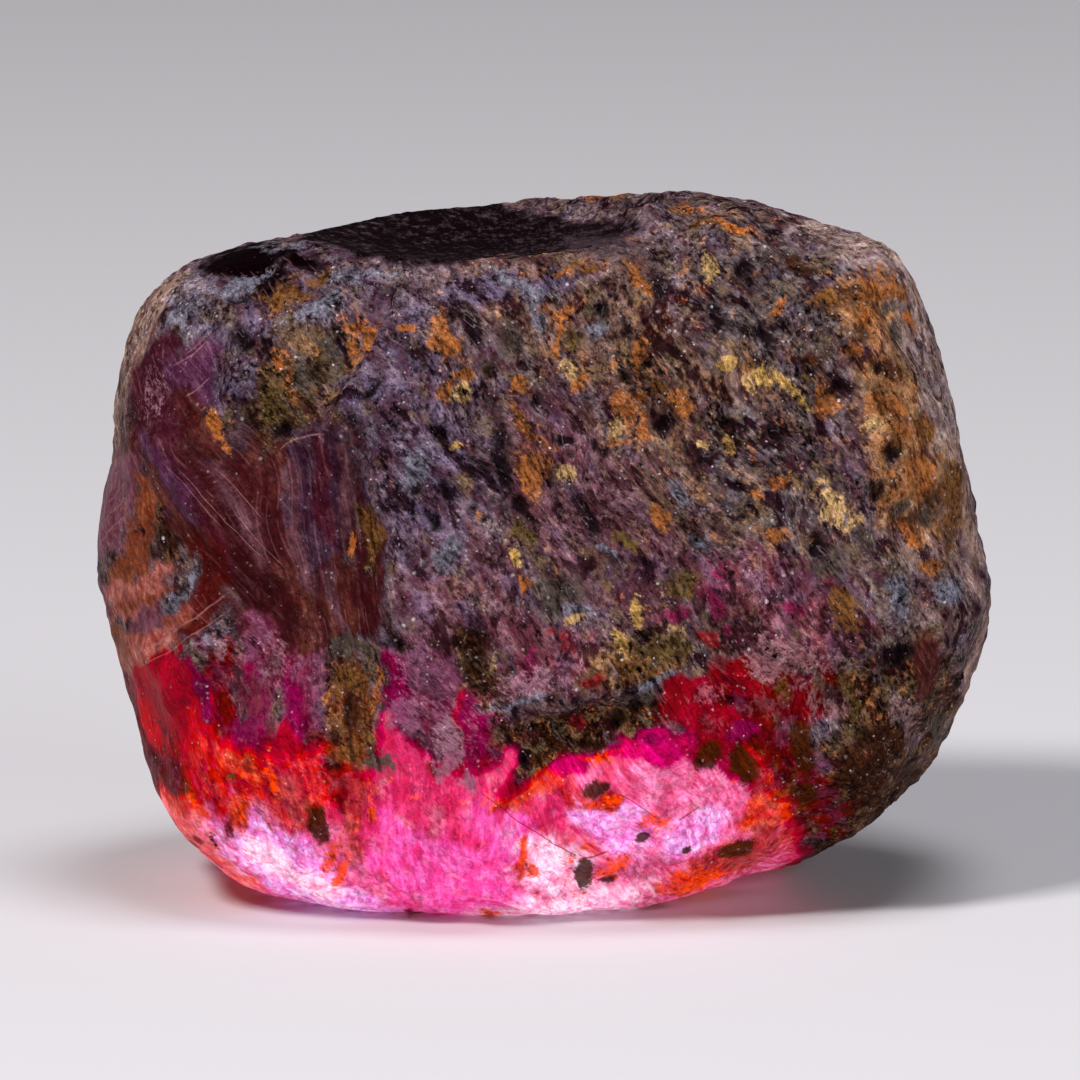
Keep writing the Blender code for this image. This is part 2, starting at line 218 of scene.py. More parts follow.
# Kind, middle (right, up), half length, half width, turn in degrees: painted in this order
ZONES = [
    ("white_crust", (-9.1, 6.8), 2.1, 1.2, 40), ("lilac_crust", (-7.9, 6.1), 1.8, 1.1, 60),
    ("tan_crust", (-10.9, 6.0), 2.6, 0.45, 62), ("tan_crust", (-11.5, 3.9), 1.6, 0.35, 85),
    ("lilac_crust", (-4.3, 4.9), 3.6, 1.8, 120), ("lilac_grey", (-3.1, 1.4), 3.6, 1.4, 95),
    ("rose_grey", (-2.2, -1.4), 2.3, 1.7, 95), ("brown_crust", (0.8, 6.6), 3.6, 1.7, 155),
    ("mauve_crust", (1.5, 0.9), 3.4, 1.7, 125), ("blue_crust", (6.2, 6.6), 3.2, 2.1, 130),
    ("brown_crust", (4.0, 3.3), 3.6, 2.0, 125), ("lilac_crust", (-0.5, 7.3), 2.2, 0.35, 8),
    ("blue_crust", (5.9, 2.0), 2.4, 1.2, 125),
    ("rust_crust", (9.8, 2.9), 3.5, 1.30, 98), ("rust_crust", (8.6, 6.6), 1.0, 0.65, 150),
    ("pale_rim", (8.5, 8.5), 2.0, 0.60, 154),
    ("pale_rim", (10.5, 4.9), 3.4, 0.70, 104), ("tan_crust", (11.1, 1.2), 2.2, 0.50, 98),
    ("silver_crust", (9.8, -1.3), 2.1, 1.4, 105), ("rose_crust", (6.2, -1.3), 2.4, 1.3, 165),
    ("rose_crust", (0.2, -2.6), 1.9, 1.0, 165), ("pale_rim", (10.0, 7.0), 2.0, 0.50, 116),
    ("plum", (-10.2, 4.6), 1.5, 0.85, 78), ("purple", (-9.1, 4.8), 1.0, 0.95, 30),
    ("lilac_crust", (-8.0, 4.9), 1.1, 0.70, 75), ("red_brown", (-9.4, 3.3), 1.2, 0.80, 130),
    ("red_brown", (-11.1, 2.7), 0.9, 0.40, 70), ("maroon", (-9.2, 1.8), 3.0, 1.05, 118),
    ("maroon", (-6.6, 0.9), 3.6, 2.1, 97), ("dusk", (-6.2, 1.5), 2.3, 1.15, 95),
    ("red_brown", (-7.4, 2.5), 1.1, 0.45, 100), ("red_brown", (-5.4, -1.4), 1.4, 0.70, 100),
    ("maroon", (-7.0, -1.6), 1.5, 1.10, 100), ("maroon", (-4.6, -0.6), 1.6, 0.45, 95),
    ("wine", (-8.9, -0.1), 1.1, 0.55, 95), ("wine", (-9.2, -1.5), 0.7, 0.4, 60),
    ("scar_mauve", (-11.5, 1.5), 1.3, 0.60, 82), ("scar_rust", (-10.6, 0.9), 1.1, 0.42, 92),
    ("scar_rust", (-11.1, -0.2), 0.7, 0.28, 35), ("scar_pink", (-10.9, -1.0), 1.0, 0.50, 28),
    ("scar_pink", (-10.4, -1.8), 1.0, 0.42, 32), ("scar_pink", (-11.1, -2.4), 0.9, 0.45, 30),
    ("lilac_crust", (-8.9, -2.1), 0.6, 0.35, 45), ("violet", (-7.6, -2.9), 0.9, 0.50, 80),
    ("near_black", (-8.0, 7.95), 1.20, 0.60, 4), ("near_black", (-7.4, 7.35), 0.50, 0.38, 60),
    ("near_black", (-6.4, 7.85), 0.65, 0.22, 4),
    ("olive_crust", (-6.5, 4.8), 1.8, 1.15, 58), ("olive_crust", (2.7, -2.7), 1.6, 0.70, 14),
    ("dark_red", (7.3, -2.9), 0.9, 0.30, 150),
    ("violet", (-3.0, -3.6), 1.3, 0.9, 95), ("wine_pink", (-3.9, -3.4), 1.0, 0.45, 95),
    ("violet", (-6.4, -3.5), 1.3, 0.65, 85),
    ("crimson", (-10.2, -4.0), 1.7, 1.35, 75), ("wine_pink", (-7.8, -4.0), 1.1, 0.50, 90),
    ("dark_red", (-8.7, -3.6), 1.1, 0.40, 88), ("crimson", (-6.8, -4.9), 0.7, 0.4, 80),
    ("dark_red", (-10.2, -5.7), 1.5, 0.9, 115), ("red", (-10.3, -5.3), 1.4, 0.36, 108),
    ("red", (-9.2, -4.7), 1.2, 0.42, 82), ("dark_red", (-11.0, -4.6), 1.6, 0.32, 105),
    ("red_mottle", (-8.2, -6.1), 2.0, 1.0, 148), ("dark_red", (-10.0, -6.0), 1.1, 0.55, 118),
    ("red_mottle", (-6.4, -5.9), 1.5, 1.0, 175),
    ("pink_edge", (-9.3, -7.5), 1.7, 0.50, 134), ("salmon", (-5.0, -6.7), 1.6, 0.50, 95),
    ("hot_pink", (-4.7, -7.2), 1.2, 0.16, 88),
    ("lavender", (-7.2, -7.9), 1.7, 0.85, 145), ("lavender", (-5.9, -8.9), 1.5, 0.60, 150),
    ("lavender", (-4.6, -9.4), 1.0, 0.40, 155),
    ("white_glow", (-7.3, -8.0), 0.9, 0.36, 145), ("white_glow", (-6.1, -8.7), 1.1, 0.34, 150),
    ("pink_edge", (-8.3, -8.5), 0.9, 0.26, 150), ("fire", (-8.15, -6.8), 0.45, 0.30, 80),
    ("fire", (-7.9, -5.6), 0.8, 0.28, 150), ("fire", (-9.6, -6.7), 0.8, 0.20, 160),
    ("salmon", (-6.7, -6.4), 0.7, 0.40, 100), ("hot_pink", (-3.8, -7.0), 2.4, 0.80, 93),
    ("violet", (-2.9, -4.8), 1.2, 0.40, 100), ("crimson", (-1.9, -4.5), 0.9, 0.55, 95),
    ("wine_pink", (-1.7, -4.6), 1.0, 0.60, 80),
    ("hot_pink", (-2.1, -6.9), 1.9, 1.15, 140),
    ("pink", (-2.5, -8.6), 2.3, 1.05, 165), ("pink", (-0.7, -7.6), 1.3, 0.70, 140),
    ("fire", (-0.1, -6.2), 0.9, 0.36, 20), ("hot_pink", (0.4, -6.8), 1.0, 0.45, 150),
    ("pale_pink", (3.2, -6.4), 2.7, 1.2, 160), ("pale_pink", (2.8, -8.2), 1.9, 0.70, 175),
    ("lavender", (1.9, -7.1), 1.3, 0.60, 155), ("white_glow", (0.3, -8.3), 1.1, 0.75, 150),
    ("white_glow", (1.4, -9.2), 1.9, 0.40, 14), ("white_glow", (-0.5, -9.5), 1.4, 0.35, 5),
    ("magenta", (2.7, -4.9), 1.2, 0.55, 165), ("salmon", (1.5, -6.5), 0.5, 0.30, 10),
    ("magenta", (0.7, -5.6), 0.5, 0.30, 0),
    ("dark_olive", (0.4, -4.75), 1.75, 0.72, 8), ("dark_olive", (-0.3, -5.15), 0.9, 0.55, 20),
    ("dark_olive", (2.3, -4.1), 1.2, 0.42, 12), ("dark_olive", (-1.7, -3.0), 1.3, 0.45, 110),
    ("ochre_pocket", (-5.1, -4.0), 1.6, 0.66, 97),
    ("crimson", (4.1, -3.7), 1.2, 0.70, 20), ("dark_red", (6.0, -3.6), 2.0, 0.90, 172),
    ("pale_pink", (4.5, -6.3), 1.2, 0.90, 20), ("lavender", (3.9, -7.3), 1.0, 0.50, 30),
    ("crimson", (4.9, -4.6), 1.0, 0.6, 150),
    ("dark_red", (6.1, -5.2), 1.3, 0.95, 115), ("salmon", (5.9, -5.9), 0.8, 0.40, 120),
    ("fire", (6.1, -6.7), 0.8, 0.45, 20),
    ("fire", (4.1, -8.55), 1.0, 0.32, 20),
    ("dark_red", (7.6, -6.2), 1.5, 0.95, 150), ("salmon", (5.3, -7.9), 1.6, 0.55, 20),
    ("dark_olive", (9.0, -4.9), 2.6, 1.50, 72), ("dark_olive", (10.5, -3.4), 1.4, 0.50, 108),
    ("red_brown", (10.2, -2.9), 0.9, 0.40, 100),
    ("dark_olive", (8.2, -7.0), 1.2, 0.55, 35), ("dark_red", (7.4, -6.5), 1.2, 0.60, 130),
    ("silver_crust", (9.6, -4.3), 0.8, 0.30, 105),
]

DISH_RIM = [
    (-7.0, 9.2), (-6.6, 8.55), (-5.2, 8.20), (-4.4, 7.95), (-3.0, 7.85), (-1.7, 7.80), (-1.0, 8.05),
    (0.0, 7.95),
    (1.0, 8.35), (2.0, 8.50), (3.1, 8.85), (3.4, 9.4),
]
DISH_CREST = [(-3.0, 10.5), (-1.5, 9.75), (-0.4, 9.40), (0.6, 9.22), (2.0, 9.08), (3.1, 8.95), (3.4, 8.6)]
DISH_EDGE = (-0.08, 0.08)
DISH_FEATHER = 0.25

# Kind, half width, and the places that its middle line runs through: painted over the zones
BANDS = [
    ("tan_crust", 0.22, [(12.1, -1.2), (11.8, -2.6), (11.4, -3.7), (10.8, -5.0)]),
    ("plum", 0.40, [(-10.8, 5.0), (-9.9, 3.0), (-9.0, 1.3), (-8.2, -0.2)]),
    ("purple", 0.22, [(-10.6, 3.2), (-9.9, 2.2), (-9.3, 0.9)]),
    ("maroon", 0.30, [(-9.5, 3.1), (-8.8, 1.6), (-8.0, 0.0), (-7.3, -1.4)]),
    ("red_brown", 0.22, [(-10.4, 2.3), (-9.9, 1.2), (-9.4, 0.2)]),
    ("wine", 0.42, [(-9.1, 0.4), (-8.6, -0.5), (-8.9, -1.1)]),
    ("mauve_sheen", 0.20, [(-9.0, 2.6), (-8.0, 1.0), (-7.2, -0.3)]),
    ("mauve_sheen", 0.28, [(-7.4, 1.0), (-6.6, 0.2), (-6.2, -0.8)]),
    ("maroon", 0.32, [(-7.7, 2.2), (-7.1, 0.8), (-6.9, -0.6)]),
    ("plum", 0.24, [(-5.9, 2.9), (-5.9, 1.6), (-5.7, 0.6)]),
    ("mauve_sheen", 0.14, [(-6.9, 2.6), (-6.6, 1.4), (-6.5, 0.3)]),
    ("mauve_sheen", 0.16, [(-5.25, 3.0), (-5.2, 1.6), (-5.3, 0.5)]),
    ("red_brown", 0.26, [(-6.9, -0.3), (-6.4, -1.2), (-6.2, -2.2)]),
    ("mauve_sheen", 0.20, [(-5.7, -0.4), (-5.5, -1.4), (-5.2, -2.2)]),
    ("olive_crust", 0.16, [(-4.7, 1.4), (-4.6, 0.4), (-4.65, -0.3)]),
    ("violet", 0.30, [(-7.7, -1.6), (-7.3, -2.4), (-7.2, -3.4)]),
    ("scar_mauve", 0.40, [(-11.2, 2.4), (-11.6, 1.5), (-11.9, 0.5)]),
    ("scar_rust", 0.26, [(-10.75, 2.0), (-10.5, 1.2), (-10.9, 0.3), (-11.5, -0.5)]),
    ("dark_olive", 0.12, [(-10.15, 1.6), (-9.95, 0.5), (-9.85, -0.1)]),
    ("scar_pink", 0.22, [(-11.7, -0.9), (-10.9, -0.8), (-10.1, -0.2)]),
    ("scar_rust", 0.10, [(-11.6, -1.35), (-10.6, -1.2), (-9.9, -0.8)]),
    ("scar_mauve", 0.24, [(-10.9, -1.8), (-10.2, -1.45), (-9.75, -1.1)]),
    ("scar_rust", 0.18, [(-11.6, -1.8), (-11.35, -2.2), (-11.1, -2.7)]),
    ("silver_crust", 0.14, [(-9.25, 0.0), (-9.45, -0.6), (-9.9, -1.25)]),
    ("scar_pink", 0.20, [(-11.1, -3.0), (-10.4, -2.5), (-9.8, -2.1)]),
    ("wine_pink", 0.16, [(-9.4, -2.7), (-9.1, -3.5), (-8.9, -4.3)]),
    ("dark_red", 0.18, [(-8.5, -2.3), (-8.4, -3.2), (-8.3, -4.0)]),
    ("rose_crust", 0.08, [(-8.15, -2.2), (-8.1, -3.2), (-8.0, -4.2)]),
    ("wine_pink", 0.24, [(-6.7, -2.6), (-6.6, -3.6), (-6.5, -4.4)]),
    ("violet", 0.16, [(-6.1, -3.4), (-6.05, -4.4)]),
    ("hot_pink", 0.18, [(-4.0, -4.3), (-3.8, -5.2), (-3.9, -6.4)]),
    ("pink", 0.30, [(-4.1, -6.6), (-3.6, -7.8), (-2.8, -8.8)]),
    ("hot_pink", 0.22, [(-0.9, -5.2), (-1.2, -5.8), (-1.9, -6.3)]),
    ("fire", 0.12, [(-1.1, -6.5), (-0.4, -6.1), (0.5, -5.85)]),
    ("magenta", 0.18, [(0.5, -5.6), (1.0, -5.5)]),
    ("fire", 0.10, [(-0.4, -7.5), (-0.6, -8.3)]),
]

# Grains of crust strewn over what lies below: colour, share, middle (right, up), half length, half width, turn
ASHES = [
    ((122, 84, 98), 0.80, (-2.6, -4.9), 1.8, 0.60, 98), ((104, 62, 84), 0.80, (-3.3, -3.0), 1.6, 1.0, 95),
    ((112, 68, 90), 0.80, (-3.6, -4.1), 1.0, 0.70, 100), ((126, 84, 104), 0.65, (-2.0, -6.0), 0.8, 0.45, 130),
    ((150, 92, 118), 0.55, (-2.9, -6.8), 0.6, 0.35, 90), ((92, 20, 24), 0.50, (-9.9, -5.4), 1.2, 0.8, 80),
    ((70, 30, 22), 0.45, (-7.9, -5.9), 0.9, 0.4, 150), ((120, 70, 86), 0.50, (-5.7, -5.7), 0.8, 0.5, 95),
    ((110, 58, 80), 0.60, (-1.3, -5.3), 0.7, 0.45, 120),
    ((118, 84, 96), 0.70, (-0.2, -3.2), 1.4, 0.7, 10), ((128, 96, 104), 0.55, (-8.7, -2.4), 0.9, 0.4, 100),
    ((84, 38, 46), 0.72, (-7.8, -3.8), 1.4, 0.70, 90),
    ((112, 74, 84), 0.60, (-7.0, -2.7), 1.2, 0.8, 95), ((116, 40, 50), 0.50, (-9.9, -3.7), 1.1, 0.8, 80),
    ((104, 28, 22), 0.50, (-7.6, -5.7), 1.0, 0.5, 150),
    ((124, 86, 98), 0.50, (-10.4, 4.4), 1.7, 0.5, 80), ((96, 66, 80), 0.25, (-6.3, 1.6), 2.2, 0.9, 95),
    ((126, 88, 92), 0.75, (6.2, -2.6), 2.4, 1.0, 172),
    ((116, 82, 84), 0.60, (7.2, -3.8), 1.6, 0.7, 165), ((118, 88, 88), 0.60, (9.6, -4.3), 1.2, 0.6, 105),
    ((84, 36, 24), 0.40, (8.2, -6.2), 1.6, 0.8, 50), ((150, 66, 60), 0.45, (-9.8, -7.3), 1.0, 0.6, 130),
    ((120, 60, 66), 0.60, (4.4, -4.3), 1.2, 0.6, 165), ((66, 14, 12), 0.50, (5.4, -3.5), 1.4, 0.5, 160),
    # The dark grey grains over the crest and the upper crust are painted shade, darkening the top.
    ((56, 44, 48), 0.85, (1.8, 8.3), 1.8, 0.5, 168), ((48, 30, 36), 0.40, (-3.6, 5.4), 2.4, 1.0, 120),
    ((52, 36, 34), 0.40, (5.4, 7.4), 2.4, 0.9, 150), ((64, 30, 10), 0.45, (-5.8, 7.2), 1.6, 0.5, 18),
    ((150, 84, 92), 0.60, (4.3, -3.6), 0.9, 0.5, 20), ((96, 50, 52), 0.60, (6.0, -3.9), 1.3, 0.7, 170),
    ((128, 72, 84), 0.60, (-1.9, -4.6), 0.9, 0.5, 95), ((84, 58, 50), 0.55, (5.2, -8.1), 1.2, 0.4, 20),
]

SPOTS = {  # colour, relief, gloss, firmness of edge; then middle, half length, half width, turn in degrees
    "rust": ((130, 77, 38), -0.03, 0.10, 0.7, [
        (-2.8, 6.2, 0.50, 0.20, 95), (-2.6, 5.6, 0.35, 0.28, 0), (-2.2, 4.8, 0.32, 0.22, 20),
        (-2.6, 4.3, 0.30, 0.22, 0), (-0.65, 4.5, 0.27, 0.24, 0), (0.3, 5.9, 0.80, 0.28, 118),
        (1.0, 4.7, 0.45, 0.28, 60), (0.5, 6.6, 0.35, 0.22, 100), (2.2, 4.2, 0.55, 0.24, 25),
        (2.5, 3.5, 0.55, 0.24, 100), (2.1, 3.1, 0.35, 0.20, 0), (2.6, 5.3, 0.65, 0.30, 115),
        (3.6, 4.0, 0.55, 0.32, 120), (-0.35, 2.2, 0.65, 0.42, 105), (-0.4, 3.4, 0.90, 0.16, 132),
        (9.0, 7.0, 0.85, 0.62, 20), (7.5, 4.3, 0.50, 0.34, 110), (9.1, 4.0, 0.50, 0.30, 0),
        (9.6, 3.0, 0.60, 0.30, 125), (10.2, 2.0, 0.90, 0.50, 100), (9.3, 1.6, 0.45, 0.30, 30),
        (10.4, -0.3, 0.45, 0.22, 160), (-5.1, 5.6, 0.60, 0.22, 110),
        (8.3, 5.6, 0.45, 0.20, 135), (3.2, 1.1, 0.45, 0.22, 110), (6.1, 0.6, 0.40, 0.25, 0),
        (5.6, 1.6, 0.28, 0.16, 150), (1.6, 9.8, 0.60, 0.16, 0), (0.1, 7.60, 1.20, 0.09, 4),
        (4.0, 9.3, 0.70, 0.16, 165), (2.6, 7.6, 0.60, 0.24, 120), (-4.6, 5.9, 0.50, 0.20, 70),
        (2.1, 3.8, 0.55, 0.26, 100),
    ]),
    "orange": ((152, 86, 38), -0.02, 0.15, 0.7, [
        (5.0, 8.95, 0.80, 0.17, 160), (-8.65, 3.5, 0.60, 0.17, 115), (-7.1, 5.3, 0.35, 0.18, 70),
        (-6.6, 4.6, 0.45, 0.16, 100), (-5.1, 6.2, 0.32, 0.22, 0), (-0.5, -0.9, 0.40, 0.20, 115),
        (-5.1, 0.3, 0.30, 0.14, 90), (9.8, 0.8, 0.55, 0.18, 115), (6.2, 2.1, 0.28, 0.20, 0),
        (6.3, 6.7, 0.30, 0.18, 60), (-5.75, -3.6, 0.95, 0.17, 96), (-4.45, -3.8, 0.95, 0.20, 88),
        (8.7, 6.4, 0.35, 0.18, 70), (9.8, 6.5, 0.35, 0.18, 110), (10.5, 2.8, 0.50, 0.20, 100),
        (-3.5, 6.05, 0.34, 0.14, 10), (0.4, 6.1, 0.50, 0.10, 118),
    ]),
    "ochre": ((98, 62, 28), -0.02, 0.10, 0.6, [
        (-6.7, 7.0, 0.90, 0.38, 20), (-5.7, 7.45, 0.60, 0.17, 15), (-5.2, -3.3, 0.75, 0.50, 98),
        (-5.0, -4.6, 0.70, 0.50, 95), (4.4, 9.0, 0.40, 0.14, 160), (7.6, 6.9, 0.50, 0.40, 0),
        (1.2, 7.75, 0.50, 0.16, 0), (3.0, 4.7, 0.40, 0.25, 120), (10.2, 3.3, 0.50, 0.24, 100),
        (10.9, 1.5, 1.20, 0.35, 95), (2.5, -2.9, 0.60, 0.40, 10), (-4.6, 0.8, 0.70, 0.24, 92),
        (5.7, 4.9, 0.60, 0.30, 130), (2.4, 0.5, 0.75, 0.24, 145),
        (7.9, -1.3, 0.65, 0.36, 110),
    ]),
    "yellow": ((166, 130, 72), 0.03, 0.30, 0.75, [
        (5.0, 5.2, 0.30, 0.20, 40), (5.9, 4.9, 0.30, 0.20, 120), (6.4, 4.7, 0.30, 0.17, 120),
        (6.6, 4.5, 0.70, 0.13, 130), (4.95, 3.0, 0.32, 0.14, 120), (-0.7, 0.0, 0.32, 0.15, 110),
        (1.15, 6.6, 0.17, 0.14, 0), (2.5, -1.4, 0.45, 0.17, 95), (2.05, -2.2, 0.40, 0.16, 120),
        (-2.4, 2.95, 0.20, 0.14, 0),
    ]),
    "cream": ((162, 130, 86), 0.05, 0.25, 0.8, [
        (7.4, 1.8, 0.36, 0.26, 60), (7.75, 1.3, 0.55, 0.42, 110), (8.3, 0.9, 0.42, 0.30, 100),
        (0.7, 5.1, 0.34, 0.20, 120), (5.5, 4.6, 0.27, 0.18, 120), (3.4, -1.6, 0.48, 0.24, 110),
        (-2.2, 4.4, 0.25, 0.22, 0), (0.8, -1.6, 0.32, 0.17, 10), (4.3, 3.0, 0.22, 0.17, 0),
        (8.8, 3.5, 0.34, 0.20, 20), (4.4, 7.8, 0.50, 0.22, 110), (0.55, 2.2, 0.28, 0.26, 0),
        (1.95, 3.5, 0.28, 0.20, 100), (-1.35, -2.8, 0.45, 0.15, 100),
    ]),
    "olive": ((84, 64, 34), -0.02, 0.25, 0.5, [
        (-7.3, 4.0, 0.60, 0.40, 90), (0.7, 5.8, 0.38, 0.22, 110), (-0.5, 0.7, 0.35, 0.25, 0),
        (3.8, -0.8, 0.48, 0.44, 0), (-8.4, -5.9, 0.17, 0.15, 0), (8.1, -3.7, 0.75, 0.30, 110),
        (2.2, 0.6, 0.50, 0.18, 145), (8.3, -7.0, 0.45, 0.20, 30), (6.1, -3.5, 0.32, 0.28, 0),
        (3.4, -2.4, 0.55, 0.32, 20), (7.0, 5.0, 0.32, 0.20, 120),
    ]),
    "slate": ((66, 56, 50), -0.03, 0.35, 0.5, [
        (-5.6, 5.6, 0.60, 0.32, 110), (-6.2, 4.7, 0.55, 0.30, 100), (9.2, 6.7, 0.30, 0.24, 0),
        (7.5, -0.2, 0.55, 0.40, 20), (8.6, 0.5, 0.42, 0.28, 120), (9.5, 1.3, 0.36, 0.28, 0),
        (10.2, 1.2, 0.36, 0.28, 0), (-5.3, -2.4, 0.50, 0.30, 10), (-4.4, -5.4, 0.36, 0.32, 0),
        (2.9, -3.6, 0.80, 0.18, 12), (10.6, -4.6, 0.40, 0.30, 0), (-0.9, 5.8, 0.50, 0.36, 120),
        (9.5, 6.1, 0.35, 0.24, 100), (6.9, -2.9, 0.34, 0.26, 0), (0.4, -0.9, 0.62, 0.48, 20),
    ]),
    "dark_brown": ((50, 24, 10), -0.05, 0.35, 0.6, [
        (-1.7, -2.4, 0.60, 0.36, 100),
        (-1.6, -3.4, 0.75, 0.36, 110), (-5.1, -4.2, 0.60, 0.24, 95), (7.3, 5.3, 0.45, 0.30, 20),
        (6.9, 7.9, 0.60, 0.24, 160), (8.8, -5.6, 1.20, 0.80, 70),
        (7.5, -3.6, 0.32, 0.24, 0), (-10.0, 0.6, 0.55, 0.15, 80),
        (9.8, -5.9, 0.55, 0.30, 130),
    ]),
    # These pits are hollows darkened with painted shade.
    "pit": ((14, 3, 9), -0.14, 0.45, 0.5, [
        (-1.05, 2.5, 0.95, 0.28, 100), (-0.45, 1.3, 0.40, 0.22, 130), (5.4, 7.7, 0.26, 0.24, 0),
        (9.3, 2.8, 0.32, 0.28, 0), (8.8, 1.9, 0.28, 0.22, 0), (9.4, -2.6, 0.46, 0.38, 20),
        (1.4, 6.6, 0.30, 0.17, 20), (3.2, 3.5, 0.32, 0.26, 0), (-1.9, 6.2, 0.55, 0.32, 110),
        (0.5, 3.1, 0.22, 0.20, 0), (-7.0, 3.5, 0.38, 0.22, 20), (-0.5, -5.25, 0.28, 0.20, 30),
        (-8.0, 5.85, 0.36, 0.30, 0), (-4.55, 4.5, 0.55, 0.16, 45), (1.2, 1.05, 0.75, 0.22, 125),
        (-2.5, 1.8, 0.38, 0.20, 150), (4.95, -3.6, 0.22, 0.18, 0), (2.8, 9.6, 0.70, 0.17, 0),
        (-8.2, 6.95, 0.45, 0.13, 0), (-1.65, -3.7, 0.36, 0.20, 120), (-10.8, 0.6, 0.14, 0.13, 0),
        (-8.8, -7.6, 0.14, 0.13, 0), (-2.8, 0.9, 0.30, 0.20, 100), (7.2, 0.3, 0.34, 0.16, 110),
        (4.6, 6.4, 0.45, 0.16, 120), (3.0, 7.4, 0.40, 0.15, 120), (5.9, 5.9, 0.40, 0.18, 115),
        (6.1, 3.4, 0.40, 0.14, 120), (9.0, 5.1, 0.36, 0.18, 110), (2.1, 6.0, 0.40, 0.14, 115),
    ]),
    "ember": ((224, 64, 22), 0.0, 0.45, 0.40, [
        (-8.0, -6.95, 0.32, 0.26, 80),
        (1.0, -8.25, 0.56, 0.46, 85), (2.7, -7.35, 0.34, 0.30, 20),
        (-0.4, -8.0, 0.50, 0.11, 110), (1.85, -8.2, 0.50, 0.22, 30), (2.9, -7.1, 0.50, 0.16, 10),
        (-1.3, -9.5, 0.45, 0.17, 0), (3.9, -8.5, 0.40, 0.24, 20), (1.6, -6.45, 0.34, 0.26, 0),
        (1.6, -5.3, 0.42, 0.24, 20), (-7.2, -5.9, 0.45, 0.16, 100),
        (-4.6, -6.6, 0.60, 0.12, 95), (-5.6, -7.9, 0.45, 0.18, 70), (-5.45, -8.4, 0.40, 0.10, 70),
        (4.3, -8.6, 0.60, 0.20, 20),
    ]),
    "blood": ((112, 18, 24), 0.0, 0.50, 0.45, [
        (1.0, -4.4, 0.22, 0.15, 20), (3.4, -3.7, 0.48, 0.34, 60), (-9.4, -7.6, 0.18, 0.14, 0),
        (-8.4, -7.1, 0.36, 0.18, 80), (-5.4, -6.2, 0.50, 0.24, 70),
        (5.2, -3.2, 0.80, 0.24, 150), (7.0, -4.0, 0.60, 0.28, 20), (-2.4, -4.4, 0.22, 0.16, 90),
        (-2.8, -5.7, 0.26, 0.20, 0), (-3.7, -9.6, 0.40, 0.10, 30), (0.5, -2.1, 0.40, 0.18, 150),
        (1.3, -3.2, 0.28, 0.20, 0), (4.4, -2.1, 0.50, 0.16, 140),
    ]),
    "magenta_spot": ((112, 22, 60), 0.0, 0.60, 0.4, [
        (4.7, -0.4, 0.34, 0.24, 120), (6.0, -2.2, 0.38, 0.22, 160), (6.6, -1.3, 0.28, 0.18, 0),
        (5.3, -4.6, 0.42, 0.26, 20), (2.9, -4.8, 0.40, 0.24, 0), (-3.8, -3.6, 0.70, 0.36, 95),
        (-0.4, -2.9, 0.42, 0.34, 90), (4.5, -1.2, 0.46, 0.24, 130), (4.8, -1.9, 0.36, 0.12, 100),
        (-6.45, -3.7, 0.55, 0.22, 95), (-1.6, -4.2, 0.45, 0.35, 0), (3.5, -1.5, 0.4, 0.15, 0),
    ]),
    "inclusion": ((58, 24, 4), 0.02, 0.55, 1.0, [
        (1.05, -8.4, 0.44, 0.30, 85), (1.75, -8.55, 0.26, 0.12, 25), (2.7, -7.45, 0.22, 0.19, 0),
        (3.8, -7.75, 0.17, 0.11, 20), (4.4, -5.2, 0.52, 0.36, 60), (5.4, -5.5, 0.50, 0.34, 110),
        (6.9, -5.0, 0.75, 0.28, 100), (7.0, -6.3, 0.34, 0.28, 0), (5.2, -7.7, 0.54, 0.24, 20),
        (1.4, -6.1, 0.38, 0.22, 15), (-6.0, -7.1, 0.55, 0.28, 110),
    ]),
    "frost": ((94, 92, 104), 0.04, 0.20, 0.45, [
        (-5.9, 6.7, 0.70, 0.30, 35), (-4.7, 7.5, 0.80, 0.13, 12), (-9.6, 6.5, 0.45, 0.26, 20),
        (-6.9, 8.3, 0.60, 0.08, 2), (1.4, 6.1, 0.40, 0.26, 0), (-0.3, 6.5, 0.60, 0.14, 125),
        (-9.3, -0.5, 0.50, 0.16, 80), (-9.8, -1.2, 0.45, 0.16, 60), (-3.3, 2.4, 0.60, 0.36, 60),
        (-2.6, 0.1, 0.50, 0.34, 80), (1.7, 0.2, 0.40, 0.14, 140), (-0.4, 7.2, 0.90, 0.16, 160),
        (4.2, 0.3, 0.50, 0.14, 130), (0.9, -1.3, 0.25, 0.18, 0),
        (9.4, -0.9, 0.60, 0.22, 110), (3.6, 1.7, 0.45, 0.2, 120), (-8.0, 7.3, 0.7, 0.13, 20),
        (10.9, -0.9, 0.40, 0.3, 0), (-0.6, -3.7, 0.9, 0.10, 22), (2.9, -3.3, 0.7, 0.10, 20),
    ]),
}

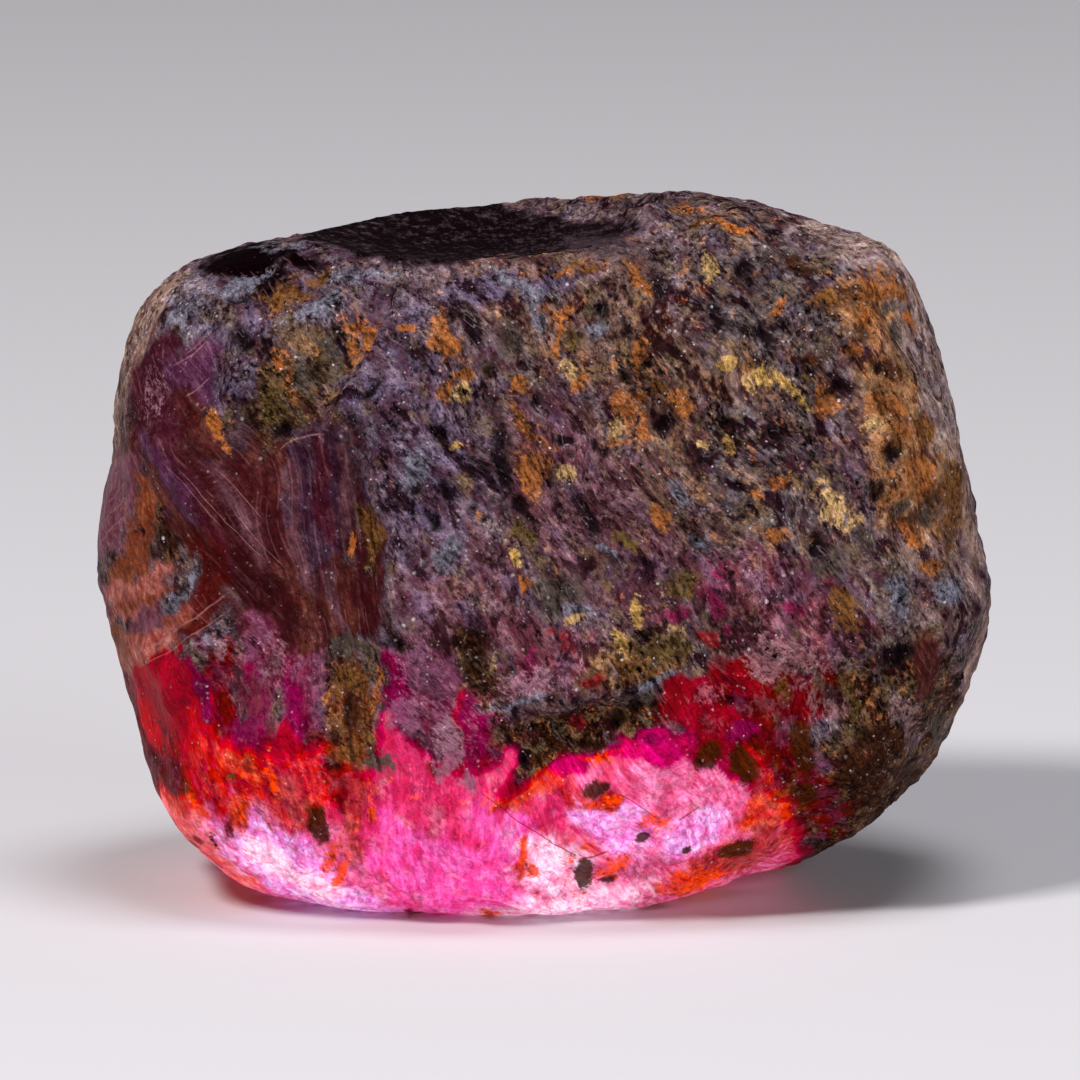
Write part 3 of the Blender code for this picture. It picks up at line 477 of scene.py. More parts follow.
# Thin lines across the surface: middle (right, up), half length, turn in degrees, bend, half width
CRACKS = [
    ((-0.45, -7.05), 1.75, -34, 0.02, 0.026), ((2.45, -6.48), 1.00, -32, -0.03, 0.022),
    ((1.35, -7.88), 0.45, 18, 0.10, 0.036), ((3.90, -6.75), 0.40, 30, 0.10, 0.026),
]
CRACK_COLOUR = (136, 14, 32)
PALE_SEAMS = [
    ((-9.75, -1.85), 1.85, 33, 0.03, 0.034), ((-9.60, -2.15), 1.75, 33, 0.02, 0.024),
    ((-9.40, 5.50), 0.65, 35, 0.10, 0.035), ((-9.20, 4.60), 0.45, 36, 0.10, 0.028),
    ((-9.15, 5.85), 0.55, 40, 0.10, 0.025), ((-6.45, 3.25), 0.70, 20, -0.25, 0.034),
    ((-11.50, 1.35), 0.55, 45, 0.10, 0.024), ((-11.55, 0.85), 0.55, 45, 0.10, 0.022),
    ((-11.45, 1.80), 0.45, 48, 0.10, 0.020),
    ((-8.60, 1.20), 1.90, -46, 0.02, 0.016), ((-9.35, 1.75), 1.30, -47, 0.00, 0.014),
    ((-8.10, 1.80), 1.00, -46, 0.00, 0.013), ((-7.60, 0.60), 1.20, -49, 0.02, 0.013),
]
PALE_SEAM_COLOUR = (150, 106, 104)
SEAM_WOBBLE = 0.22

# The material's own texture, with painted shade between the grains and painted glints
STREAK_TEXTURE = (0.26, 1.05, 0.26)
PLEAT_TEXTURE = (0.16, 3.4, 0.3)
SWEEP_TEXTURE = (0.15, 2.6, 0.3)
LINE_SPACING = 0.34
LINE_BEND = ((1.3, 5.0, 1.3), 3.2)
TONE_SIZE = 0.9
LINE_TINT = (66, 44, 46)
# The tint of the painted shade between the grains, also laid on darker blots.
GAP_SHADE_TINT = (112, 78, 94)
GAP_TEXTURE = (0.20, 0.50, 0.20)
BLOT_TEXTURE = (0.60, 1.30, 0.60)
MOTTLE_SIZE = 0.55
FINE_TEXTURE = (0.12, 0.21, 0.14)
GRAIN_TEXTURE_SIZE = 0.15
# Painted glints: pale specks over the crust that stand in for light caught by its grains; size, share, strength.
PAINTED_GLINTS = [(0.15, 0.55, 0.60), (0.24, 0.36, 0.85)]
GLINT_COLOUR = (216, 204, 210)
THREAD_TEXTURE = (0.36, 1.7, 0.36)
THREAD_TINT = (92, 80, 84)
BROAD_TEXTURE = (0.80, 2.6, 0.80)
CRUST_TINTS = [  # colour, size, leaning to the rusty crusts, from, to, most
    ((88, 78, 108), (0.50, 1.0, 0.50), -0.60, 0.66, 0.84, 0.40),
    ((50, 12, 24), (0.42, 1.2, 0.42), -0.06, 0.50, 0.64, 0.70),
    ((124, 90, 62), (0.46, 1.0, 0.46), 0.50, 0.44, 0.60, 0.65),
    ((84, 70, 50), (0.60, 0.9, 0.60), 0.24, 0.48, 0.60, 0.60),
    ((156, 96, 52), (0.30, 0.6, 0.30), 0.46, 0.53, 0.64, 0.60),
]
# Mottling within the painted glow of the base.
GLOW_TINTS = [  # colour, blend, size, from, to, most, least glow
    ((236, 158, 184), "MULTIPLY", (0.34, 1.3, 0.50), 0.50, 0.64, 0.70, 0.40),
    ((60, 96, 90), "ADD", (0.50, 0.9, 0.50), 0.52, 0.72, 0.80, 0.74),
    ((214, 136, 156), "MULTIPLY", (0.24, 0.7, 0.30), 0.54, 0.66, 0.55, 0.40),
    ((246, 84, 40), "MIX", (0.30, 0.5, 0.30), 0.64, 0.72, 0.60, 0.40),
]
TINT_FRAY = (0.30, 0.14)
PATCH_SPREAD = 0.085
SPOT_TINT = (150, 138, 138)
# How much more the painted glow gives off on faces that look down.
SHINE_BELOW = 1.1
VEIL_SIZE = 1.1
VEIL_COLOUR = (186, 40, 98)

FLOOR_COLOUR = (188, 186, 190)
FLOOR_REACH = 1.2
CAMERA_DISTANCE = 400.0
PICTURE_PX = 1080
PX_PER_MM = 37.0
MIDDLE_PX = (543, 560)
SENSOR_MM = 36.0


def smooth_step(low, high, value):
    share = np.clip((value - low) / (high - low), 0, 1)
    return share * share * (3 - 2 * share)


def mix(first, second, share):
    return first + (second - first) * share


def linear(colour):
    """A colour in display values from 0 to 255, as the renderer's light values."""
    share = np.array(colour, float) / 255
    return np.where(share <= 0.04045, share / 12.92, ((share + 0.055) / 1.055) ** 2.4)


def hashed(cell, seed):
    """Two 16-bit numbers for each whole-numbered cell."""
    mixed = (cell[:, 0] * 73856093) ^ (cell[:, 1] * 19349663) ^ (cell[:, 2] * 83492791) ^ (seed * 2654435761)
    mixed = ((mixed ^ (mixed >> 15)) * 2246822519) & 0xFFFFFFFF
    mixed = ((mixed ^ (mixed >> 13)) * 3266489917) & 0xFFFFFFFF
    return mixed & 0xFFFF, (mixed >> 16) & 0xFFFF


def noise(points, seed):
    """Smooth gradient noise of about -1 to 1 at each point, with features one unit across."""
    cell = np.floor(points).astype(np.int64)
    part = points - cell
    fade = part**3 * (part * (part * 6 - 15) + 10)
    total = np.zeros(len(points))
    for corner in itertools.product((0, 1), repeat=3):
        low, high = hashed(cell + corner, seed)
        turn = low / 65536 * 2 * math.pi
        rise = high / 32768 - 1
        flat = np.sqrt(np.maximum(1 - rise**2, 0))
        slope = np.stack([flat * np.cos(turn), flat * np.sin(turn), rise], axis=1)
        weight = np.prod(np.where(corner, fade, 1 - fade), axis=1)
        total += weight * np.sum(slope * (part - corner), axis=1)
    return total * NOISE_GAIN


def layered(points, size, seed):
    """Noise about 0.5, made of ever finer and fainter layers."""
    total = sum(0.6**layer * noise(points / size * 2**layer, seed + layer) for layer in range(3))
    return 0.5 + PATCH_SPREAD * total / total.std()


def nearest_seed(points, seed):
    """The distance to the nearest of the seeds strewn one to a cell, and a random share that belongs to it."""
    cell = np.floor(points).astype(np.int64)
    nearest = np.full(len(points), np.inf)
    chance = np.zeros(len(points))
    for corner in itertools.product((-1, 0, 1), repeat=3):
        at = cell + corner
        first, second = hashed(at, seed)
        third, own = hashed(at, seed + 1)
        strewn = at + np.stack([first, second, third], axis=1) / 65536
        distance = np.linalg.norm(points - strewn, axis=1)
        closer = distance < nearest
        nearest = np.where(closer, distance, nearest)
        chance = np.where(closer, own / 65536, chance)
    return nearest, chance


def outline_radius(angle):
    """How far the outline reaches from the crystal's middle at each angle, as a closed spline."""
    points = np.array(OUTLINE)
    at = np.arctan2(points[:, 1], points[:, 0])
    order = np.argsort(at)
    at, radius = at[order], np.hypot(points[:, 0], points[:, 1])[order]
    at = np.concatenate([at[-2:] - 2 * math.pi, at, at[:2] + 2 * math.pi])
    radius = np.concatenate([radius[-2:], radius, radius[:2]])
    slope = (radius[2:] - radius[:-2]) / (at[2:] - at[:-2])
    first = np.clip(np.searchsorted(at, angle, side="right") - 1, 1, len(at) - 3)
    gap = at[first + 1] - at[first]
    t = (angle - at[first]) / gap
    return (
        (2 * t**3 - 3 * t**2 + 1) * radius[first] + (t**3 - 2 * t**2 + t) * gap * slope[first - 1]
        + (3 * t**2 - 2 * t**3) * radius[first + 1] + (t**3 - t**2) * gap * slope[first]
    )


def on_view_plane(vectors):
    """Splits vectors into their reach to the right, up and away from someone who looks down at VIEW_ELEVATION."""
    sine, cosine = math.sin(VIEW_ELEVATION), math.cos(VIEW_ELEVATION)
    right = vectors[:, 0]
    up = vectors[:, 1] * sine + vectors[:, 2] * cosine
    away = vectors[:, 1] * cosine - vectors[:, 2] * sine
    return right, up, away


def nearer_of(first, second, sharpness):
    """The smaller of two distances, rounded where they are alike."""
    return (first**-sharpness + second**-sharpness) ** (-1 / sharpness)


def body_radius(directions):
    right, up, away = on_view_plane(directions)
    outline = outline_radius(np.arctan2(up, right))
    depth = np.where(away < 0, FRONT_DEPTH, BACK_DEPTH)
    squareness = np.where(away < 0, FRONT_SQUARENESS, BACK_SQUARENESS)
    across = np.hypot(right, up) / outline
    return (across**squareness + (np.abs(away) / depth) ** squareness) ** (-1 / squareness)


def cut_back_fractures(radius, directions):
    """Shears the back off along hollow, shell-like faces, each a piece of a large sphere behind it."""
    for fracture in BACK_FRACTURES.values():
        towards = np.array(fracture["towards"]) / np.linalg.norm(fracture["towards"])
        centre = towards * (fracture["depth_at"] + fracture["radius"])
        along = directions @ centre
        inside = along**2 - (centre @ centre - fracture["radius"] ** 2)
        near = along - np.sqrt(np.maximum(inside, 0))
        beyond = radius * 3
        meets = (inside > 0) & (along > 0)
        radius = nearer_of(radius, np.where(meets, near, beyond), FRACTURE_EDGE_SHARPNESS)
    return radius


def dish_share(points):
    """From 0 outside the dish in the top to 1 inside it, across a rim that wanders."""
    out = np.hypot(points[:, 0] - DISH_MIDDLE[0], points[:, 1] - DISH_MIDDLE[1])
    out = out + DISH_RIM_WANDER * noise(points / FRONT_WARP_SIZE, 31)
    inside = smooth_step(DISH_REACH + DISH_RIM_WIDTH / 2, DISH_REACH - DISH_RIM_WIDTH / 2, out)
    return np.where(points[:, 2] > 0, inside, 0)


def cut_dish(radius, directions):
    points = directions * radius[:, None]
    out = np.hypot(points[:, 0] - DISH_MIDDLE[0], points[:, 1] - DISH_MIDDLE[1])
    floor = DISH_FLOOR + out**2 / (2 * DISH_CURVE)
    cut = radius * np.minimum(floor / np.maximum(points[:, 2], 1), 1)
    return mix(radius, cut, dish_share(points))


def oval_reach(right, up, middle, half_length, half_width, turn):
    """How far each point lies from an oval's middle: 1 at its edge. The turn is in degrees, from the right."""
    cosine, sine = math.cos(math.radians(turn)), math.sin(math.radians(turn))
    along = ((right - middle[0]) * cosine + (up - middle[1]) * sine) / half_length
    across = ((up - middle[1]) * cosine - (right - middle[0]) * sine) / half_width
    return np.hypot(along, across)


def oval_share(right, up, oval):
    """From 1 in the middle of an oval to 0 at its edge."""
    middle, half_length, half_width, turn, _, steepness = oval
    return np.clip(1 - oval_reach(right, up, middle, half_length, half_width, turn) ** steepness, 0, 1)


def flutes(right, up):
    """Grooves that hang down the draped hollow, bending to the left as they rise."""
    flow = right + FLUTE_LEAN * (up - FLUTE_LEAN_FROM) + FLUTE_BEND * (up - FLUTE_BEND_FROM) ** 2
    crest = np.abs(np.cos(math.pi * flow / FLUTE_SPACING))
    return FLUTE_DEPTH * (crest - 0.5) * oval_share(right, up, FRONT_HOLLOWS["draped_hollow"]) ** 0.5


def crust_grain(right, up, away):
    """Slanting ridges in the crust, which run down to the right."""
    along = right * math.cos(GRAIN_FALL) - up * math.sin(GRAIN_FALL)
    across = right * math.sin(GRAIN_FALL) + up * math.cos(GRAIN_FALL)
    streaks = np.stack([along / GRAIN_SIZE[0], across / GRAIN_SIZE[1], away / GRAIN_SIZE[0]], axis=1)
    crest = 0.5 - 2 * np.abs(noise(streaks, 13))
    return GRAIN_HEIGHT * crest * smooth_step(*GRAIN_LEFT_EDGE, right)


def front_relief(points):
    right, up, away = on_view_plane(points)
    right = right + FRONT_WARP * noise(points / FRONT_WARP_SIZE, 11)
    up = up + FRONT_WARP * noise(points / FRONT_WARP_SIZE, 12)
    height = flutes(right, up) + crust_grain(right, up, away)
    for oval in FRONT_HOLLOWS.values():
        height -= oval[4] * oval_share(right, up, oval)
    for oval in FRONT_RIDGES.values():
        height += oval[4] * oval_share(right, up, oval) ** 1.5
    return height * smooth_step(*FRONT_FADE, away)


def back_steps(points):
    """Parting steps across the back, each rising slowly and dropping at its edge."""
    axis = np.array(STEP_AXIS) / np.linalg.norm(STEP_AXIS)
    along = (points @ axis + STEP_WANDER * noise(points / STEP_WANDER_SIZE, 21)) / STEP_SPACING
    _, _, away = on_view_plane(points)
    return STEP_DEPTH * (along % 1 - 0.5) * smooth_step(*BACK_FADE, away)


def lumps(points):
    height = sum(height * noise(points / size, seed) for seed, (size, height) in enumerate(LUMPS))
    _, _, away = on_view_plane(points)
    height *= mix(LUMPS_AT_OUTLINE, 1, smooth_step(*OUTLINE_REACH, np.abs(away)))
    return height * mix(1, LUMPS_IN_DISH, dish_share(points))


def crystal_points(directions):
    """The crystal's surface around its middle, in millimetres, one point in each direction."""
    radius = cut_back_fractures(body_radius(directions), directions)
    points = directions * radius[:, None]
    radius = radius + (front_relief(points) + back_steps(points)) * (1 - dish_share(points)) + lumps(points)
    radius = cut_dish(radius, directions)
    downward = np.maximum(-directions[:, 2], LEAST_DOWNWARD)
    radius = nearer_of(radius, MIDDLE_HEIGHT / downward, BASE_EDGE_SHARPNESS)
    points = directions * radius[:, None]
    points[:, 2] = np.maximum(points[:, 2], BASE_WEAR - MIDDLE_HEIGHT)
    return points


def box_lattice():
    """Evenly spaced points on a cube from -1 to 1, and the four-sided faces between them, facing out."""
    corners = []
    for axis, side in itertools.product(range(3), (0, 1)):
        first, second = (axis + 1) % 3, (axis + 2) % 3
        i, j = np.meshgrid(np.arange(FACES_ALONG[first]), np.arange(FACES_ALONG[second]), indexing="ij")
        ring = ((0, 0), (1, 0), (1, 1), (0, 1)) if side else ((0, 0), (0, 1), (1, 1), (1, 0))
        face = np.zeros((i.size, 4, 3), int)
        face[:, :, axis] = side * FACES_ALONG[axis]
        for corner, (along_first, along_second) in enumerate(ring):
            face[:, corner, first] = i.ravel() + along_first
            face[:, corner, second] = j.ravel() + along_second
        corners.append(face)
    corners = np.concatenate(corners)
    nodes, index = np.unique(corners.reshape(-1, 3), axis=0, return_inverse=True)
    return nodes / FACES_ALONG * 2 - 1, index.reshape(-1, 4)


def outward(points, faces):
    """The unit normal at each point."""
    across = np.cross(points[faces[:, 2]] - points[faces[:, 0]], points[faces[:, 3]] - points[faces[:, 1]])
    normals = np.stack([
        np.bincount(faces.ravel(), np.repeat(across[:, axis], 4), len(points)) for axis in range(3)
    ], axis=1)
    return normals / np.linalg.norm(normals, axis=1, keepdims=True)


def along_fall(right, up, away, fall):
    """Places across and along lines that run down to the right at the given angle."""
    across = right * math.sin(fall) + up * math.cos(fall)
    along = right * math.cos(fall) - up * math.sin(fall)
    return np.stack([across, along, away], axis=1)


def flows(points):
    """Places along the crust's slant, and along the pleats that hang down the left side."""
    right, up, away = on_view_plane(points)
    right = right + FLOW_WANDER * noise(points / FLOW_WANDER_SIZE, 51)
    up = up + FLOW_WANDER * noise(points / FLOW_WANDER_SIZE, 52)
    return along_fall(right, up, away, GRAIN_FALL), along_fall(right, up, away, DRAPE_FALL)


def line_distance(right, up, line):
    """How far each point lies from a line through the given places."""
    nearest = np.full(len(right), np.inf)
    for (start_right, start_up), (end_right, end_up) in itertools.pairwise(line):
        run = np.array([end_right - start_right, end_up - start_up])
        part = np.clip(((right - start_right) * run[0] + (up - start_up) * run[1]) / (run @ run), 0, 1)
        offset = np.hypot(right - start_right - part * run[0], up - start_up - part * run[1])
        nearest = np.minimum(nearest, offset)
    return nearest


class Paint:
    """The colours, finish and relief of every point of the surface, laid on one coat after another."""

    def __init__(self, points, normals):
        self.points = points
        self.right, self.up, self.away = on_view_plane(points)
        _, _, facing = on_view_plane(normals)
        self.front = smooth_step(*PAINTED_FRONT, facing) * smooth_step(*FRONT_LIMIT, self.away)
        self.wandering = [self.right.copy(), self.up.copy()]
        for seed, (size, reach) in enumerate(EDGE_WANDERS):
            self.wandering[0] += reach * noise(points / size, 60 + 2 * seed)
            self.wandering[1] += reach * noise(points / size, 61 + 2 * seed)
        plain = (self.right, self.up)
        self.steadier = [mix(*pair, FIRM_WANDER) for pair in zip(plain, self.wandering)]
        slant, drape = flows(points)
        flow = mix(slant, drape, draped_share(self)[:, None])
        self.feather = sum(reach * noise(flow / size, 66) for size, reach in FEATHERS)
        count = len(points)
        self.ground, self.vein, self.spot, self.ash = (np.zeros((count, 3)) for _ in range(4))
        # Share of vein, gloss, glow, grit and rust flecks
        self.finish = np.zeros((count, 5))
        self.spot_share, self.ash_share = np.zeros(count), np.zeros(count)
        self.relief = np.zeros(count)

    def coat(self, kind, weight):
        ground, vein, *finish = KINDS[kind]
        weight = weight[:, None]
        self.ground = mix(self.ground, linear(ground), weight)
        self.vein = mix(self.vein, linear(vein), weight)
        self.finish = mix(self.finish, np.array(finish), weight)

    def zone(self, kind, middle, half_length, half_width, turn):
        reach = oval_reach(*self.wandering, middle, half_length, half_width, turn) + self.feather
        self.coat(kind, smooth_step(*ZONE_EDGE, reach) * self.front)

    def band(self, kind, half_width, line):
        reach = line_distance(*self.wandering, line) / half_width + self.feather * BAND_FEATHER
        self.coat(kind, smooth_step(*BAND_EDGE, reach) * self.front)

    def cover(self, colours, shares, colour, share, reach, edge):
        """Lays a colour where its share is high, and also around it where nothing else has been laid."""
        free = (shares < LEAST_SHARE) & (reach < edge + COLOUR_MARGIN)
        over = np.where(free, 1, smooth_step(*COVERING_SHARE, share)) * self.front
        return mix(colours, linear(colour), over[:, None]), np.maximum(shares * (1 - over), share)

    def dust(self, colour, share, middle, half_length, half_width, turn):
        """Strews grains of crust, thinning out towards the edge of an oval."""
        reach = oval_reach(*self.wandering, middle, half_length, half_width, turn) + self.feather * 0.5
        laid = share * smooth_step(*DUST_EDGE, reach) * self.front
        self.ash, self.ash_share = self.cover(self.ash, self.ash_share, colour, laid, reach, DUST_EDGE[0])

    def mark(self, reach, colour, relief, gloss, firmness):
        """Lays a spot whose edge is where the reach is 1, and the more ragged the less firm it is."""
        share = np.clip(0.5 + (1 - reach) * firmness, 0, 1) * self.front
        edge = 1 + 0.5 / firmness
        self.spot, self.spot_share = self.cover(self.spot, self.spot_share, colour, share, reach, edge)
        self.finish[:, 1] = mix(self.finish[:, 1], gloss, share)
        self.relief += relief * smooth_step(1.1, 0.3, reach) * self.front


def hidden_sides(paint):
    """The sides that can't be seen from the front: the same crusts and broken faces, red and pink towards the base,
    which glow there with painted light.
    """
    points, count = paint.points, len(paint.points)
    paint.coat("grey_crust", np.ones(count))
    paint.coat("lilac_crust", smooth_step(0.0, 0.5, noise(points / 3.4, 71)))
    paint.coat("brown_crust", smooth_step(0.05, 0.45, noise(points / 3.0, 72)))
    paint.coat("rust_crust", smooth_step(0.30, 0.60, noise(points / 2.4, 73)))
    paint.coat("plum", smooth_step(0.12, 0.30, noise(points / 3.8, 74)) * smooth_step(1.0, 3.0, paint.away))
    paint.coat("maroon", smooth_step(0.30, 0.45, noise(points / 2.9, 75)) * smooth_step(1.0, 3.0, paint.away))
    right_end = smooth_step(9.3, 10.8, paint.right) * smooth_step(-6.5, -4.0, paint.up)
    paint.coat("tan_crust", right_end)
    paint.coat("rust_crust", right_end * smooth_step(-0.3, 0.5, noise(points / 1.6, 79)))
    # Painted glow, stronger towards the base and fading on the right.
    painted_glow = -paint.up - 3.6 + 2.0 * noise(points / (1.5, 1.5, 4.0), 76)
    painted_glow = painted_glow - 5.0 * smooth_step(5.0, 8.5, paint.right)
    paint.coat("dark_red", smooth_step(-0.8, 0.4, painted_glow))
    paint.coat("crimson", smooth_step(0.2, 1.4, painted_glow))
    paint.coat("hot_pink", smooth_step(1.6, 2.8, painted_glow))
    paint.coat("pale_pink", smooth_step(3.0, 4.2, painted_glow))
    paint.coat("dark_olive", smooth_step(0.30, 0.42, noise(points / 2.0, 77)) * smooth_step(1.5, -1.0, painted_glow))
    paint.coat("red_mottle", smooth_step(0.28, 0.45, noise(points / 1.7, 78)) * smooth_step(0.8, 1.6, painted_glow))


def lay_colours(paint):
    hidden_sides(paint)
    paint.coat("grey_crust", paint.front * smooth_step(-5.4, -3.8, paint.up))
    for zone in ZONES:
        paint.zone(*zone)
    for band in BANDS:
        paint.band(*band)
    for ash in ASHES:
        paint.dust(*ash)
    right, up = paint.wandering
    above = up - np.interp(right, *zip(*DISH_RIM)) + DISH_FEATHER * paint.feather
    below = np.interp(right, *zip(*DISH_CREST)) - up + DISH_FEATHER * paint.feather
    paint.coat(DISH_KIND, smooth_step(*DISH_EDGE, np.minimum(above, below)) * paint.front)
    for colour, relief, gloss, firmness, ovals in SPOTS.values():
        places = paint.steadier if firmness >= FIRM_EDGE else paint.wandering
        for right, up, half_length, half_width, turn in ovals:
            reach = oval_reach(*places, (right, up), half_length, half_width, turn)
            paint.mark(reach, colour, relief, gloss, firmness)


# Where the texture hangs: middle (right, up), half length, half width, turn
DRAPED_HOLLOW = ((-5.8, -0.4), 4.2, 1.8, 97)
DRAPED_BASE = ((-5.0, -6.8), 4.2, 3.2, 0)
HOLLOW_EDGE, BASE_EDGE = (1.25, 0.8), (1.2, 0.7)


def draped_share(paint):
    """Where the texture hangs down instead of slanting: the hollow on the left and the bright base below it."""
    hollow = smooth_step(*HOLLOW_EDGE, oval_reach(paint.right, paint.up, *DRAPED_HOLLOW))
    base = smooth_step(*BASE_EDGE, oval_reach(paint.right, paint.up, *DRAPED_BASE))
    return np.maximum(hollow, base) * paint.front


def fine_relief(paint, slant, drape, draped):
    """Grains, pits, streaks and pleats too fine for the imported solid, in millimetres out from the surface."""
    grit = paint.finish[:, 3]
    distance, _ = nearest_seed(slant / CRUST_GRAIN_SIZE, 81)
    height = CRUST_GRAIN_HEIGHT * (0.55 - distance) * grit
    distance, chance = nearest_seed(paint.points / PIT_SPACING, 83)
    radius = mix(*PIT_RADIUS, chance / PIT_SHARE) / PIT_SPACING
    pit = np.where(chance < PIT_SHARE, smooth_step(radius, radius * 0.4, distance), 0) * smooth_step(0.6, 0.9, grit)
    height -= PIT_DEPTH * pit
    streaks = 0.3 - np.abs(noise(slant / STREAK_SIZE, 85))
    height += STREAK_HEIGHT * streaks * grit * (1 - draped)
    pleats = 0.3 - np.abs(noise(drape / PLEAT_SIZE, 86))
    height += PLEAT_HEIGHT * pleats * np.maximum(draped, 1 - grit)
    return height + paint.relief, pit


CRUST_TINT_SEED, GLOW_TINT_SEED, SEED_STEP = 100, 130, 5
BROAD_SEED, BLOT_SEED, TONE_SEED, LINE_SEED = 160, 165, 170, 175


def give(mesh, name, kind, values):
    attribute = mesh.attributes.new(name, kind, "POINT")
    field = {"FLOAT": "value", "FLOAT_VECTOR": "vector", "FLOAT_COLOR": "color"}[kind]
    if kind == "FLOAT_COLOR":
        values = np.column_stack([values, np.ones(len(values))])
    attribute.data.foreach_set(field, np.ascontiguousarray(values, np.float32).ravel())


def make_crystal():
    corners, faces = box_lattice()
    directions = np.tan(corners * math.pi / 4) * HALF_BOX
    directions /= np.linalg.norm(directions, axis=1, keepdims=True)
    points = crystal_points(directions)
    paint = Paint(points, outward(points, faces))
    lay_colours(paint)
    slant, drape = flows(points)
    draped = draped_share(paint)
    height, pit = fine_relief(paint, slant, drape, draped)
    low = BASE_WEAR - MIDDLE_HEIGHT
    height *= smooth_step(low + BASE_MARGIN[0], low + BASE_MARGIN[1], points[:, 2])
    finished = points + outward(points, faces) * height[:, None]
    finished[:, 2] = np.maximum(finished[:, 2], low)
    cad_low, cad_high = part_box("ruby_crystal")
    middle = (points.min(axis=0) + points.max(axis=0)) / 2
    shift = np.array([
        (cad_low.x + cad_high.x) / 2 / MILLIMETRE - middle[0],
        (cad_low.y + cad_high.y) / 2 / MILLIMETRE - middle[1],
        cad_low.z / MILLIMETRE - low,
    ])
    mesh = bpy.data.meshes.new("crystal")
    mesh.from_pydata(((finished + shift) * MILLIMETRE).tolist(), [], faces.tolist())
    give(mesh, "ground", "FLOAT_COLOR", paint.ground)
    give(mesh, "vein", "FLOAT_COLOR", paint.vein)
    give(mesh, "spot", "FLOAT_COLOR", paint.spot)
    give(mesh, "ash", "FLOAT_COLOR", paint.ash)
    give(mesh, "slant", "FLOAT_VECTOR", slant)
    give(mesh, "drape", "FLOAT_VECTOR", drape)
    for column, name in enumerate(("vein_share", "gloss", "glow", "grit", "flecks")):
        give(mesh, name, "FLOAT", paint.finish[:, column])
    give(mesh, "spot_share", "FLOAT", paint.spot_share)
    give(mesh, "ash_share", "FLOAT", paint.ash_share)
    give(mesh, "draped", "FLOAT", draped)
    # Painted glow: the glow, raised on faces that look down, as though lit from below.
    lit_below = 1 + SHINE_BELOW * smooth_step(0.1, -0.7, outward(points, faces)[:, 2])
    give(mesh, "shine", "FLOAT", paint.finish[:, 2] * lit_below)
    for number, (_, size, *_) in enumerate(CRUST_TINTS):
        give(mesh, f"crust_tint_{number}", "FLOAT", layered(slant, size, CRUST_TINT_SEED + SEED_STEP * number))
    for number, (_, _, size, *_) in enumerate(GLOW_TINTS):
        give(mesh, f"glow_tint_{number}", "FLOAT", layered(drape, size, GLOW_TINT_SEED + SEED_STEP * number))
    give(mesh, "broad", "FLOAT", layered(slant, BROAD_TEXTURE, BROAD_SEED))
    give(mesh, "blot", "FLOAT", layered(slant, BLOT_TEXTURE, BLOT_SEED))
    give(mesh, "tone", "FLOAT", layered(points, TONE_SIZE, TONE_SEED))
    size, reach = LINE_BEND
    for name, flow in (("slant", slant), ("drape", drape)):
        across = flow[:, 0] / LINE_SPACING + reach * (layered(flow, size, LINE_SEED) - 0.5)
        give(mesh, name + "_line", "FLOAT", across)
    give(mesh, "pit", "FLOAT", pit)
    mesh.shade_smooth()
    crystal = bpy.data.objects.new("crystal", mesh)
    bpy.context.scene.collection.objects.link(crystal)
    mesh.materials.append(crystal_material())
    return crystal


def view_directions():
    """Unit vectors to the right, up and away on the photograph's view plane."""
    sine, cosine = math.sin(VIEW_ELEVATION), math.cos(VIEW_ELEVATION)
    return Vector((1, 0, 0)), Vector((0, sine, cosine)), Vector((0, cosine, -sine))


